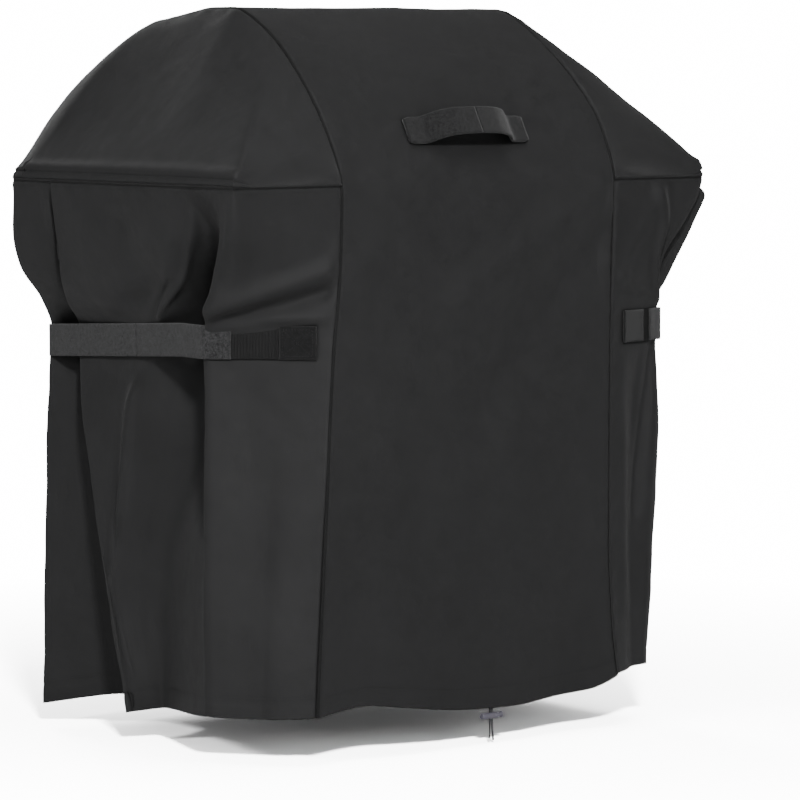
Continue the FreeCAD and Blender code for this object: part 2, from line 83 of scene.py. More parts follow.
def smooth(x, y, at):
    """The curve through (x, y) at the places in at. It turns at the points and never overshoots them."""
    x, y, at = (np.asarray(a, float) for a in (x, y, at))
    flat = y.reshape(len(x), -1)
    step = np.diff(x)[:, None]
    slope = np.diff(flat, axis=0) / step
    tangent = np.zeros_like(flat)
    tangent[0], tangent[-1] = slope[0], slope[-1]
    before, after = slope[:-1], slope[1:]
    near, far = 2 * step[1:] + step[:-1], step[1:] + 2 * step[:-1]
    with np.errstate(divide="ignore", invalid="ignore"):
        mean = (near + far) / (near / before + far / after)
    tangent[1:-1] = np.where(before * after > 0, mean, 0)
    at = np.clip(at, x[0], x[-1])
    i = np.clip(np.searchsorted(x, at, side="right") - 1, 0, len(x) - 2)
    t = ((at - x[i]) / step[i, 0])[:, None]
    value = (
        flat[i] * (2 * t**3 - 3 * t**2 + 1)
        + flat[i + 1] * (3 * t**2 - 2 * t**3)
        + step[i] * (tangent[i] * (t**3 - 2 * t**2 + t) + tangent[i + 1] * (t**3 - t**2))
    )
    return value.reshape(len(at), *y.shape[1:])


def along(points):
    """Distance along a polyline at each of its points."""
    return np.concatenate([[0], np.cumsum(np.linalg.norm(np.diff(points, axis=0), axis=1))])


def resample(points, at):
    points = np.asarray(points, float)
    s = along(points)
    return np.stack([np.interp(at, s, points[:, k]) for k in range(points.shape[1])], axis=1)


def rounded(points, step, radius):
    """A polyline at an even step, with its corners eased over about that radius."""
    points = np.asarray(points, float)
    total = along(points)[-1]
    fine = resample(points, np.linspace(0, total, max(8, int(total / step))))
    for _ in range(int((radius / step) ** 2)):
        fine[1:-1] = (fine[:-2] + 2 * fine[1:-1] + fine[2:]) / 4
    return fine


def spaced(total, step, start=NEAR_SEAM, end=NEAR_SEAM):
    """Distances from 0 to total at about the step, with closer ones at the two ends."""
    low, high = max(start), total - max(end)
    middle = np.linspace(low, high, max(2, int((high - low) / step)))
    return np.concatenate([list(start[:-1]), middle, [total - e for e in reversed(end[:-1])]])


def metres(points):
    """From millimetres with height above the hem to the row frame."""
    points = np.asarray(points, float).copy()
    points[..., 2] -= TALL
    return points / 1000


def grid_normals(grid):
    rows, columns = np.gradient(grid, axis=0), np.gradient(grid, axis=1)
    normal = np.cross(rows, columns)
    normal /= np.maximum(np.linalg.norm(normal, axis=2, keepdims=True), 1e-9)
    return normal


def bell(distance, width):
    return np.exp(-((distance / width) ** 2))


def rumple(grid, normal, size, height, seed, calm=1.0):
    """Soft unevenness along the normals: bumps of about that size and height, less where calm is under 1."""
    shift = Vector((seed * 7.1, seed * 3.3, seed * 5.7))
    flat = grid.reshape(-1, 3)
    bumps = np.array([noise.noise(Vector(p) / size + shift) for p in flat])
    return grid + normal * (bumps.reshape(grid.shape[:2]) * height * calm)[..., None]


def ridge(u, v, start, end, width, height, taper=0.25):
    """Height of a straight fold from start to end in the sheet's own (u, v), fading at its ends."""
    start, end = np.array(start, float), np.array(end, float)
    run = end - start
    length = np.linalg.norm(run)
    run /= length
    du, dv = u - start[0], v - start[1]
    lengthwise = (du * run[0] + dv * run[1]) / length
    across = du * run[1] - dv * run[0]
    fade = np.clip(np.minimum(lengthwise, 1 - lengthwise) / taper + 0.5, 0, 1)
    return height * bell(across, width) * fade * fade * (3 - 2 * fade)


def mesh_object(name, points, faces, material, uvs=None):
    mesh = bpy.data.meshes.new(name)
    mesh.from_pydata([tuple(p) for p in points], [], [tuple(f) for f in faces])
    mesh.update()
    mesh.shade_smooth()
    if uvs is not None:
        layer = mesh.uv_layers.new(name="cloth")
        corner = np.empty(len(mesh.loops), np.int32)
        mesh.loops.foreach_get("vertex_index", corner)
        layer.data.foreach_set("uv", np.asarray(uvs, np.float32)[corner].ravel())
    made = bpy.data.objects.new(name, mesh)
    bpy.context.scene.collection.objects.link(made)
    made.data.materials.append(material)
    return made


def quads(rows, columns, flip=False, ring=False):
    """Faces of a grid; ring closes it across its columns."""
    faces = []
    for i in range(rows - 1):
        for j in range(columns if ring else columns - 1):
            k = (j + 1) % columns
            face = (i * columns + j, i * columns + k, (i + 1) * columns + k, (i + 1) * columns + j)
            faces.append(face[::-1] if flip else face)
    return faces


def sheet_uvs(grid):
    """Lengthways and crossways distances in the sheet, in metres, for the weave."""
    down = np.concatenate([np.zeros((1, grid.shape[1])),
                           np.cumsum(np.linalg.norm(np.diff(grid, axis=0), axis=2), axis=0)])
    over = np.concatenate([np.zeros((grid.shape[0], 1)),
                           np.cumsum(np.linalg.norm(np.diff(grid, axis=1), axis=2), axis=1)], axis=1)
    return np.stack([over.mean(axis=0)[None, :].repeat(grid.shape[0], 0), down], axis=2).reshape(-1, 2)


def cloth_sheet(name, grid, normal, material, thick=0.0012):
    """A sheet from a grid of points. Its normals point out of the cover, and it thickens inwards."""
    made = quads(grid.shape[0], grid.shape[1])
    first = Vector(np.cross(grid[0, 1] - grid[0, 0], grid[1, 0] - grid[0, 0]))
    if first.dot(Vector(normal[0, 0])) < 0:
        made = quads(grid.shape[0], grid.shape[1], flip=True)
    sheet = mesh_object(name, grid.reshape(-1, 3), made, material, sheet_uvs(grid))
    solid = sheet.modifiers.new("thickness", "SOLIDIFY")
    solid.thickness, solid.offset = thick, -1
    return sheet


# ---------------------------------------------------------------- materials


class Shader:
    """A material's nodes, added and linked by short calls."""

    def __init__(self, name, color, roughness):
        self.material = bpy.data.materials.new(name)
        self.material.use_nodes = True
        self.nodes, self.links = self.material.node_tree.nodes, self.material.node_tree.links
        self.surface = self.nodes["Principled BSDF"]
        self.surface.inputs["Base Color"].default_value = (*color, 1)
        self.surface.inputs["Roughness"].default_value = roughness

    def add(self, kind, **values):
        node = self.nodes.new("ShaderNode" + kind)
        for key, value in values.items():
            if key in node.inputs:
                node.inputs[key].default_value = value
            else:
                setattr(node, key.lower(), value)
        return node

    def math(self, operation, a, b=None):
        node = self.nodes.new("ShaderNodeMath")
        node.operation = operation
        for socket, value in zip(node.inputs, (a, b)):
            if isinstance(value, (int, float)):
                socket.default_value = value
            elif value is not None:
                self.links.new(value, socket)
        return node.outputs[0]

    def mapped(self, value, low, high, out_low, out_high):
        node = self.nodes.new("ShaderNodeMapRange")
        self.links.new(value, node.inputs["Value"])
        for key, number in zip(("From Min", "From Max", "To Min", "To Max"), (low, high, out_low, out_high)):
            node.inputs[key].default_value = number
        return node.outputs[0]

    def noise(self, where, scale, detail=3, rough=0.55):
        node = self.add("TexNoise", Scale=scale, Detail=detail, Roughness=rough)
        self.links.new(where, node.inputs["Vector"])
        return node.outputs["Fac"]

    def tint(self, factor, dark, light):
        ramp = self.nodes.new("ShaderNodeValToRGB")
        ramp.color_ramp.elements[0].color = (*dark, 1)
        ramp.color_ramp.elements[1].color = (*light, 1)
        self.links.new(factor, ramp.inputs["Fac"])
        self.links.new(ramp.outputs["Color"], self.surface.inputs["Base Color"])

    def rough(self, value):
        self.links.new(value, self.surface.inputs["Roughness"])

    def bump(self, *layers):
        """Layers are pairs of a height and its depth in metres."""
        last = None
        for height, depth in layers:
            node = self.add("Bump", Strength=1.0, Distance=depth)
            self.links.new(height, node.inputs["Height"])
            if last:
                self.links.new(last, node.inputs["Normal"])
            last = node.outputs["Normal"]
        self.links.new(last, self.surface.inputs["Normal"])

    def paint_fold_shade(self, reach, darkest):
        """Painted shade: darkens the colour in folds and creases, where shade falls, about as deep as the
        reach, in metres.
        """
        node = self.add("AmbientOcclusion", Distance=reach)
        node.samples = 8
        colour = self.surface.inputs["Base Color"].links[0].from_socket
        scaled = self.nodes.new("ShaderNodeVectorMath")
        scaled.operation = "SCALE"
        self.links.new(colour, scaled.inputs[0])
        self.links.new(self.mapped(node.outputs["AO"], 0.35, 0.92, darkest, 1), scaled.inputs["Scale"])
        self.links.new(scaled.outputs[0], self.surface.inputs["Base Color"])

    def object_place(self):
        return self.add("TexCoord").outputs["Object"]

    def cloth_place(self):
        """The sheet's crossways and lengthways distances."""
        node = self.nodes.new("ShaderNodeUVMap")
        node.uv_map = "cloth"
        split = self.nodes.new("ShaderNodeSeparateXYZ")
        self.links.new(node.outputs["UV"], split.inputs["Vector"])
        return split.outputs["X"], split.outputs["Y"]

    def weave(self, across, down, pitch):
        """Over-and-under threads of a plain weave, as a height from -1 to 1."""
        first = self.math("SINE", self.math("MULTIPLY", across, 2 * math.pi / pitch))
        second = self.math("SINE", self.math("MULTIPLY", down, 2 * math.pi / pitch))
        return self.math("MULTIPLY", first, second)


def grey(level):
    return (level, level, level * 1.03)


def cloth_material(name, level, pitch=0.0011):
    """Coated plain-weave polyester, with a faint sheen, soft mottling, a slight slub, and painted shade
    darkening its colour in folds.
    """
    shader = Shader(name, grey(level), 0.62)
    across, down = shader.cloth_place()
    place = shader.object_place()
    threads = shader.weave(across, down, pitch)
    mottle = shader.noise(place, 38, 4)
    cloudy = shader.noise(place, 7, 3)
    slub = shader.noise(place, 420, 2)
    worn = shader.math("ADD", shader.math("MULTIPLY", mottle, 0.5), shader.math("MULTIPLY", cloudy, 0.5))
    grain = shader.math("ADD", worn, shader.math("MULTIPLY", shader.math("ADD", threads, slub), 0.06))
    shader.tint(shader.mapped(grain, 0.3, 0.75, 0, 1), grey(level * 0.84), grey(level * 1.17))
    # painted shade: the cloth's colour is darkened in its folds and creases, to as little as 0.12 of itself
    shader.paint_fold_shade(0.09, 0.12)
    shader.rough(shader.mapped(mottle, 0.3, 0.7, 0.56, 0.68))
    shader.surface.inputs["Specular IOR Level"].default_value = 0.42
    shader.surface.inputs["Sheen Weight"].default_value = 0.10
    shader.surface.inputs["Sheen Roughness"].default_value = 0.45
    shader.bump((cloudy, 0.0015), (mottle, 0.0007), (slub, 0.00006), (threads, 0.00008))
    return shader.material


def webbing_material(name, dark, light, pitch=0.0016):
    """Narrow webbing: ribs along it, a coarse crosswise pick, and threads of two greys."""
    shader = Shader(name, dark, 0.8)
    across, down = shader.cloth_place()
    place = shader.object_place()
    threads = shader.weave(across, down, pitch)
    fleck = shader.noise(place, 520, 2, 0.7)
    streak = shader.noise(place, 170, 3, 0.6)
    mix = shader.math("ADD", shader.math("MULTIPLY", fleck, 0.6), shader.math("MULTIPLY", streak, 0.4))
    mix = shader.math("ADD", mix, shader.math("MULTIPLY", threads, 0.05))
    shader.tint(shader.mapped(mix, 0.36, 0.64, 0, 1), dark, light)
    shader.surface.inputs["Specular IOR Level"].default_value = 0.25
    shader.surface.inputs["Sheen Weight"].default_value = 0.25
    shader.bump((threads, 0.0002), (fleck, 0.0003))
    return shader.material


def hook_material(name):
    """Hook tape: fine rows of stiff hooks across a black ribbon."""
    shader = Shader(name, grey(0.012), 0.55)
    across, down = shader.cloth_place()
    rows = shader.math("SINE", shader.math("MULTIPLY", down, 2 * math.pi / 0.0022))
    hooks = shader.math("SINE", shader.math("MULTIPLY", across, 2 * math.pi / 0.0014))
    fleck = shader.noise(shader.object_place(), 700, 2, 0.7)
    height = shader.math("ADD", rows, shader.math("MULTIPLY", hooks, 0.35))
    value = shader.math("ADD", shader.math("MULTIPLY", rows, 0.14), fleck)
    shader.tint(shader.mapped(value, 0.3, 0.8, 0, 1), grey(0.003), grey(0.016))
    shader.bump((height, 0.0003), (fleck, 0.0002))
    return shader.material


def thread_material(name, level):
    shader = Shader(name, grey(level), 0.5)
    twist = shader.noise(shader.object_place(), 1500, 2, 0.6)
    shader.tint(twist, grey(level * 0.7), grey(level * 1.25))
    shader.bump((twist, 0.0001))
    return shader.material


def plastic_material(name):
    """Satin moulded plastic with a fine spark texture and broad patches of varying tone and gloss."""
    shader = Shader(name, (0.2, 0.19, 0.23), 0.42)
    place = shader.object_place()
    fine, broad = shader.noise(place, 2500, 2, 0.6), shader.noise(place, 160, 3)
    shader.tint(shader.mapped(broad, 0.3, 0.7, 0, 1), (0.17, 0.16, 0.2), (0.25, 0.24, 0.29))
    shader.rough(shader.mapped(broad, 0.3, 0.7, 0.36, 0.5))
    shader.bump((fine, 0.00006))
    return shader.material


def cord_material(name):
    """A thin braided cord: slanting strands that cross."""
    shader = Shader(name, (0.13, 0.13, 0.14), 0.7)
    place = shader.object_place()
    split = shader.nodes.new("ShaderNodeSeparateXYZ")
    shader.links.new(place, split.inputs["Vector"])
    tall = shader.math("MULTIPLY", split.outputs["Z"], 2 * math.pi / 0.0028)
    wide = shader.math("MULTIPLY", split.outputs["X"], 2 * math.pi / 0.0028)
    one = shader.math("SINE", shader.math("ADD", tall, wide))
    two = shader.math("SINE", shader.math("SUBTRACT", tall, wide))
    braid = shader.math("MULTIPLY", one, two)
    shader.tint(shader.mapped(braid, -1, 1, 0, 1), (0.035, 0.035, 0.04), (0.14, 0.14, 0.155))
    shader.bump((braid, 0.0003))
    return shader.material


def steel_material(name):
    shader = Shader(name, (0.55, 0.55, 0.57), 0.3)
    shader.surface.inputs["Metallic"].default_value = 1.0
    drawn = shader.noise(shader.object_place(), 1200, 2)
    shader.tint(drawn, (0.42, 0.42, 0.44), (0.62, 0.62, 0.64))
    shader.rough(shader.mapped(drawn, 0.3, 0.7, 0.22, 0.42))
    return shader.material


CLOTH = cloth_material("cover_cloth", 0.027)
SEAM = cloth_material("seam_tape", 0.004, 0.0008)
LINING = cloth_material("hem_cloth", 0.026)
GREY_WEB = webbing_material("heather_webbing", grey(0.014), grey(0.088))
BLACK_WEB = webbing_material("black_webbing", grey(0.004), grey(0.022))
HANDLE_WEB = webbing_material("handle_webbing", grey(0.010), grey(0.040), 0.0020)
HOOKS = hook_material("hook_tape")
THREAD = thread_material("sewing_thread", 0.03)
DARK_THREAD = thread_material("seam_thread", 0.02)
PLASTIC = plastic_material("satin_plastic")
CORD = cord_material("braided_cord")
STEEL = steel_material("spring_wire")


# ---------------------------------------------------------------- the centre strip

# the seams' places across, as height above the hem and X, down the front and up over the hood
LEFT_SEAM = [(-40, -306), (0, -305), (175, -296), (304, -289), (470, -281), (553, -275), (616, -268),
             (679, -263), (762, -261), (867, -265), (943, -267), (1010, -263), (1060, -262)]
RIGHT_SEAM = [(-40, 288), (0, 287), (64, 279), (131, 274), (219, 270), (440, 270), (616, 272),
              (749, 276), (867, 278), (943, 267), (1010, 258), (1060, 259)]
# the front hem's height at places across it
FRONT_HEM = [(-306, 3), (-257, 8), (-208, 12), (-149, 5), (-50, -9), (19, -14), (75, -15), (162, -10),
             (232, -6), (274, 6), (288, 14)]


def front_seam(side, height):
    table = LEFT_SEAM if side == LEFT else RIGHT_SEAM
    return smooth([h for h, _ in table], [x for _, x in table], np.atleast_1d(height))


def front_wave(across, height):
    """How far the front hangs forward of its plane, from the waist down."""
    drop = np.clip((620 - height) / 620, 0, 1) ** 1.6
    return drop * (5 * np.cos((across + 30) / 62) + 3 * np.cos((across - 90) / 34)) - 3 * drop


def hood_profile():
    """The strip's line from the front hem, over the hood, to the rear hem, as (back from middle, height)."""

    def arc(back, height, radius, first, last, count):
        return [(back + radius * math.cos(math.radians(a)), height + radius * math.sin(math.radians(a)))
                for a in np.linspace(first, last, count)]

    line = [(FRONT, 0), *arc(*FRONT_ARC, 60), (20, CROWN_HEIGHT), *arc(*REAR_ARC, 50), (298, 0)]
    return rounded(line, 3, 13)


profile = hood_profile()
profile_at = along(profile)
crown = profile_at[np.argmax(profile[:, 1])]
LEVEL_AT_FRONT = np.interp(SHELF, profile[: len(profile) // 3, 1], profile_at[: len(profile) // 3])
third = 2 * len(profile) // 3
LEVEL_AT_REAR = np.interp(-SHELF, -profile[third:, 1], profile_at[third:])


def strip_seam(side, s):
    """The seam's points for distances s along the strip's profile."""
    line = resample(profile, s)
    front = front_seam(side, line[:, 1])
    top = front_seam(side, [CROWN_HEIGHT])[0]
    over = np.clip((s - crown) / 260, 0, 1)
    over = over * over * (3 - 2 * over)
    across = np.where(s <= crown, front, top + (side * HALF - top) * over)
    lean = np.where(s <= crown, front_wave(across, line[:, 1]), 0)
    return np.stack([across, line[:, 0] - lean, line[:, 1]], axis=1)


def centre_strip():
    total = profile_at[-1]
    s = spaced(total, 5.2, EDGE_STEP, EDGE_STEP)
    left, right = strip_seam(LEFT, s), strip_seam(RIGHT, s)
    t = spaced(STRIP_WIDTH, 5.4) / STRIP_WIDTH
    grid = left[:, None] * (1 - t)[None, :, None] + right[:, None] * t[None, :, None]
    line = resample(profile, s)
    across, height = grid[..., 0], grid[..., 2]
    front = (s <= crown)[:, None]
    grid[..., 1] = line[:, 0][:, None] - np.where(front, front_wave(across, height), 0)
    hem = smooth([x for x, _ in FRONT_HEM], [h for _, h in FRONT_HEM], across[0])
    grid[..., 2] += np.where(front, hem[None, :] * np.clip(1 - height / 300, 0, 1) ** 2, 0)
    sag = -5 - 12 * bell(across[-1] / 300, 0.5)
    grid[..., 2] += np.where(front, 0, sag[None, :] * np.clip(1 - height / 300, 0, 1) ** 2)
    grid = metres(grid)
    normal = grid_normals(grid)
    if normal[len(s) // 2, len(t) // 2, 2] < 0:
        normal = -normal
    u, v = across, height + np.where(front, 0, 4000)
    lift = (
        ridge(u, v, (285, 775), (-60, 600), 40, 9)
        - ridge(u, v, (262, 712), (-10, 440), 46, 8.5)
        + ridge(u, v, (-250, 560), (-120, 380), 45, 2.5)
        - ridge(u, v, (-262, 740), (-150, 690), 30, 1.6)
        + ridge(u, v, (-262, 640), (-170, 700), 16, 1.5)
        + ridge(u, v, (60, 420), (170, 60), 46, 6)
        - ridge(u, v, (-130, 420), (-90, 40), 46, 6)
        + ridge(u, v, (-268, 905), (-150, 940), 22, 1.4)
        + ridge(u, v, (278, 880), (150, 930), 26, 1.6)
        - ridge(u, v, (276, 820), (120, 838), 22, 1.4)
        + ridge(u, v, (-150, 4500), (-60, 4000), 55, 5)
        - ridge(u, v, (40, 4700), (120, 4050), 55, 5)
        + ridge(u, v, (200, 4600), (220, 4000), 40, 4)
    )
    edge = np.minimum(t, 1 - t) * STRIP_WIDTH
    lift = lift * np.clip(edge / 26, 0, 1)[None, :]
    lift = lift - SEAM_DIP * bell(edge, SEAM_SOFT)[None, :]
    pucker = 0.5 * np.sin(s / 6.1)[:, None] * bell(edge - 9, 6)[None, :]
    hem_line = -HEM_DIP * bell(s - HEM_LINE, 2.2) - HEM_DIP * bell(total - s - HEM_LINE, 2.2)
    lift = lift + pucker + hem_line[:, None]
    grid = grid + normal * (lift / 1000)[..., None]
    calm = np.clip(edge / 26, 0, 1)[None, :]
    grid = rumple(grid, normal, 0.11, 0.0022, 1, calm)
    grid = rumple(grid, normal, 0.034, 0.0005, 2, calm)
    return s, grid, normal


# ---------------------------------------------------------------- skirts

# One row per height: (out, back) for the front seam, two points along the front, the front corner with
# two points before its fold and two after, the valley, the next fold with one point before and one after,
# the flap's edge with one before and one after, the pleat, the rear panel, the rear corner and the rear seam.
LEFT_SKIRT = {
    783: [(0, 0), (60, 0), (125, 0), (182, 0), (182, 16), (182, 30), (182, 44), (182, 70), (182, 118),
          (182, 170), (182, 226), (182, 345), (182, 445), (182, 457), (181, 460), (180, 464), (182, 512),
          (182, 559), (95, 579), (0, 598)],
    720: [(0, 0), (58, 6), (118, 14), (166, 22), (174, 34), (174, 44), (166, 54), (150, 72), (136, 104),
          (166, 150), (177, 190), (177, 340), (172, 450), (170, 464), (158, 461), (134, 461), (168, 484),
          (180, 564), (92, 584), (0, 598)],
    650: [(0, 0), (50, 25), (100, 52), (140, 74), (149, 84), (151, 92), (143, 103), (112, 128), (84, 165),
          (122, 182), (153, 206), (157, 335), (154, 462), (151, 480), (134, 474), (92, 474), (142, 502),
          (157, 576), (80, 590), (0, 598)],
    600: [(0, 0), (45, 38), (92, 76), (126, 104), (137, 116), (139, 122), (131, 132), (96, 150),
          (62, 196), (104, 226), (128, 262), (130, 370), (126, 484), (122, 502), (106, 494), (60, 488),
          (110, 524), (117, 582), (60, 592), (0, 598)],
    554: [(0, 0), (42, 48), (86, 97), (115, 130), (124, 141), (126, 148), (118, 157), (84, 172),
          (48, 218), (84, 252), (111, 290), (103, 400), (95, 494), (93, 510), (80, 504), (46, 498),
          (70, 545), (94, 586), (46, 594), (0, 598)],
    400: [(0, 0), (45, 48), (86, 95), (113, 126), (125, 139), (127, 145), (120, 153), (88, 176),
          (56, 246), (88, 296), (110, 348), (118, 396), (121, 446), (121, 458), (104, 452), (60, 442),
          (76, 515), (101, 588), (50, 595), (0, 598)],
    200: [(0, 3), (54, 47), (94, 92), (118, 121), (129, 135), (131, 141), (127, 151), (112, 196),
          (76, 300), (92, 345), (114, 386), (120, 395), (123, 401), (124, 406), (102, 404), (42, 416),
          (60, 490), (107, 588), (52, 595), (0, 598)],
    0: [(0, 3), (64, 46), (100, 90), (120, 116), (130, 130), (132, 137), (130, 146), (118, 186),
        (78, 312), (92, 326), (106, 334), (116, 340), (122, 344), (125, 348), (98, 352), (38, 392),
        (42, 462), (112, 588), (54, 595), (0, 598)],
}
RIGHT_SKIRT = {
    783: [(0, 0), (60, 0), (125, -1), (180, -2), (186, 0), (189, 4), (191, 10), (190, 18), (189, 25),
          (191, 32), (192, 42), (184, 240), (182, 445), (182, 457), (181, 460), (180, 464), (182, 512),
          (182, 559), (95, 579), (0, 598)],
    754: [(0, 0), (58, 0), (120, 0), (168, 1), (177, 3), (181, 7), (179, 13), (173, 19), (170, 24),
          (192, 22), (210, 20), (192, 220), (178, 448), (176, 461), (168, 460), (154, 462), (175, 514),
          (181, 562), (94, 582), (0, 598)],
    720: [(0, 0), (56, 0), (112, 2), (152, 6), (162, 10), (165, 15), (161, 22), (150, 30), (142, 36),
          (176, 30), (203, 32), (188, 260), (172, 450), (170, 464), (158, 461), (134, 461), (168, 484),
          (180, 564), (92, 584), (0, 598)],
    650: [(0, 0), (40, 3), (84, 11), (113, 16), (122, 20), (125, 25), (122, 31), (112, 40), (102, 48),
          (146, 46), (178, 54), (168, 260), (154, 462), (151, 480), (134, 474), (92, 474), (142, 502),
          (157, 576), (80, 590), (0, 598)],
    600: [(0, 0), (40, 8), (82, 19), (110, 25), (120, 30), (123, 35), (121, 41), (114, 50), (104, 58),
          (132, 58), (153, 66), (146, 280), (126, 484), (122, 502), (106, 494), (60, 488), (110, 524),
          (117, 582), (60, 592), (0, 598)],
    554: [(0, 0), (40, 12), (82, 24), (113, 32), (122, 36), (125, 41), (124, 48), (119, 60), (110, 76),
          (115, 100), (120, 140), (110, 330), (95, 494), (93, 510), (80, 504), (46, 498), (70, 545),
          (94, 586), (46, 594), (0, 598)],
    400: [(0, 0), (36, 10), (66, 27), (104, 24), (121, 30), (126, 36), (124, 44), (114, 64), (98, 88),
          (108, 120), (118, 158), (112, 330), (116, 450), (117, 462), (100, 456), (60, 446), (76, 515),
          (101, 588), (50, 595), (0, 598)],
    200: [(0, 1), (34, 9), (60, 24), (92, 22), (108, 27), (114, 33), (113, 42), (104, 64), (90, 94),
          (100, 134), (114, 182), (108, 320), (112, 410), (113, 422), (96, 416), (50, 412), (60, 490),
          (107, 588), (52, 595), (0, 598)],
    0: [(0, 2), (34, 10), (60, 20), (80, 19), (91, 23), (96, 29), (96, 38), (90, 58), (80, 98), (90, 144),
        (106, 198), (102, 300), (106, 374), (108, 388), (88, 384), (46, 396), (46, 466), (112, 588),
        (54, 595), (0, 598)],
}
LEFT_HEM = [3, 1, 0, 0, 1, 2, 0, -4, -13, -15, -17, -18, -19, -20, -20, -17, -14, -36, -24, -8]
RIGHT_HEM = [14, 17, 19, 20, 20, 20, 19, 17, 12, 8, 4, -4, -11, -12, -12, -8, -8, -24, -16, -8]
BETWEEN = (11, 10, 9, 5, 5, 5, 8, 10, 10, 10, 12, 14, 6, 6, 8, 9, 10, 12, 14)
SKIRTS = {LEFT: (LEFT_SKIRT, LEFT_HEM), RIGHT: (RIGHT_SKIRT, RIGHT_HEM)}


def skirt_columns(at):
    """Grid columns as places along the control points, closer together at the two seams."""
    total = at[-1]
    inner = np.concatenate([np.linspace(at[i], at[i + 1], n, endpoint=False) for i, n in enumerate(BETWEEN)])
    inner = inner[(inner > max(NEAR_SEAM) + 1) & (inner < total - max(NEAR_SEAM) - 1)]
    return np.concatenate([NEAR_SEAM, inner, [total - e for e in reversed(NEAR_SEAM)]])


def skirt_shape(side):
    """The skirt before its fine creases: the grid in millimetres, and its two sets of coordinates."""
    table, hem = SKIRTS[side]
    levels = sorted(table)
    points = np.array([table[h] for h in levels], float)
    at = np.mean([along(p) for p in points], axis=0)
    columns = skirt_columns(at)
    drop = spaced(SHELF, 5.4, NEAR_SEAM, EDGE_STEP)
    heights = SHELF - drop
    rows = smooth(levels, points, heights)
    seam_out = side * front_seam(side, heights) - HALF
    lean = front_wave(side * (HALF + seam_out), heights)
    plan = np.stack([smooth(at, row, columns) for row in rows])
    pull = np.clip(1 - columns / 90, 0, 1)[None, :]
    out = plan[..., 0] + pull * seam_out[:, None]
    back = plan[..., 1] - pull * lean[:, None]
    fall = smooth(at, hem, columns)[None, :] * (np.clip(drop / SHELF, 0, 1) ** 2.2)[:, None]
    height = heights[:, None] + fall
    grid = np.stack([side * (HALF + out), FRONT + back, height], axis=2)
    return grid, columns, drop, at


def skirt(side, seed):
    grid, columns, drop, at = skirt_shape(side)
    grid = metres(grid)
    normal = grid_normals(grid)
    middle = len(columns) // 2
    if normal[4, middle, 0] * side < 0:
        normal = -normal
    u, v = columns[None, :] + 0 * drop[:, None], SHELF - drop[:, None] + 0 * columns[None, :]
    corner, valley, fold = at[5], at[8], at[10]
    if side == LEFT:
        lift = (
            ridge(u, v, (corner + 6, 600), (2, 668), 15, 10)
            - ridge(u, v, (corner + 4, 572), (-8, 636), 12, 11)
            + ridge(u, v, (corner - 8, 580), (10, 592), 11, 4.5)
            - ridge(u, v, (corner - 30, 590), (20, 566), 9, 3)
            - ridge(u, v, (corner + 8, 760), (corner - 24, 640), 12, 3)
            + ridge(u, v, (corner - 30, 770), (corner - 40, 640), 16, 3)
            + ridge(u, v, (fold + 30, 700), (fold + 100, 590), 22, 4)
            - ridge(u, v, (fold + 60, 740), (fold + 26, 600), 24, 8)
            + ridge(u, v, (valley + 16, 760), (fold + 4, 560), 6, 7)
            - ridge(u, v, (fold - 8, 640), (fold + 6, 545), 7, 5)
            + ridge(u, v, (fold + 20, 480), (fold + 4, 260), 14, 10)
            - ridge(u, v, (corner - 60, 520), (corner - 80, 180), 40, 4)
            + ridge(u, v, (50, 330), (90, 40), 34, 3)
        )
    else:
        lift = (
            ridge(u, v, (64, 780), (corner - 12, 585), 9, 8)
            - ridge(u, v, (84, 770), (corner - 2, 620), 10, 6)
            + ridge(u, v, (20, 610), (70, 760), 12, 2.5)
            + ridge(u, v, (10, 640), (corner - 16, 590), 8, 3)
            - ridge(u, v, (10, 618), (corner - 20, 600), 6, 2.4)
            - ridge(u, v, (corner - 22, 520), (corner - 46, 250), 12, 9)
            + ridge(u, v, (30, 500), (50, 120), 18, 3)
        )
    rear = at[17]
    lift = lift + (
        ridge(u, v, (rear + 40, 780), (rear + 30, 20), 20, 5)
        - ridge(u, v, (rear + 70, 700), (rear + 64, 0), 16, 4)
        + ridge(u, v, (at[15] + 30, 440), (at[15] + 46, 60), 18, 4)
    )
    seam_edge = np.minimum(columns, at[-1] - columns)
    lift = lift * np.clip(seam_edge / 18, 0, 1)[None, :] * np.clip(drop / 14, 0, 1)[:, None]
    tied = bell(np.clip(np.abs(SHELF - drop - STRAP_MIDDLE) - 20, 0, None), 10)[:, None]
    lift = lift * (1 - tied) - 0.6 * tied
    lift = lift - SEAM_DIP * bell(seam_edge, SEAM_SOFT)[None, :] - SEAM_DIP * bell(drop, SEAM_SOFT)[:, None]
    pucker = 0.6 * np.sin(columns / 5.3)[None, :] * bell(drop - 9, 7)[:, None]
    pucker = pucker + 0.5 * np.sin(drop / 6.1)[:, None] * bell(seam_edge - 9, 6)[None, :]
    hem_line = -HEM_DIP * bell(SHELF - drop - HEM_LINE, 2.2)
    lift = lift + pucker + hem_line[:, None]
    grid = grid + normal * (lift / 1000)[..., None]
    calm = np.clip(seam_edge / 20, 0, 1)[None, :] * np.clip(drop / 20, 0, 1)[:, None] * (1 - tied)
    grid = rumple(grid, normal, 0.09, 0.0024, seed, calm)
    grid = rumple(grid, normal, 0.03, 0.0007, seed + 1, calm)
    return grid, normal


# ---------------------------------------------------------------- gussets


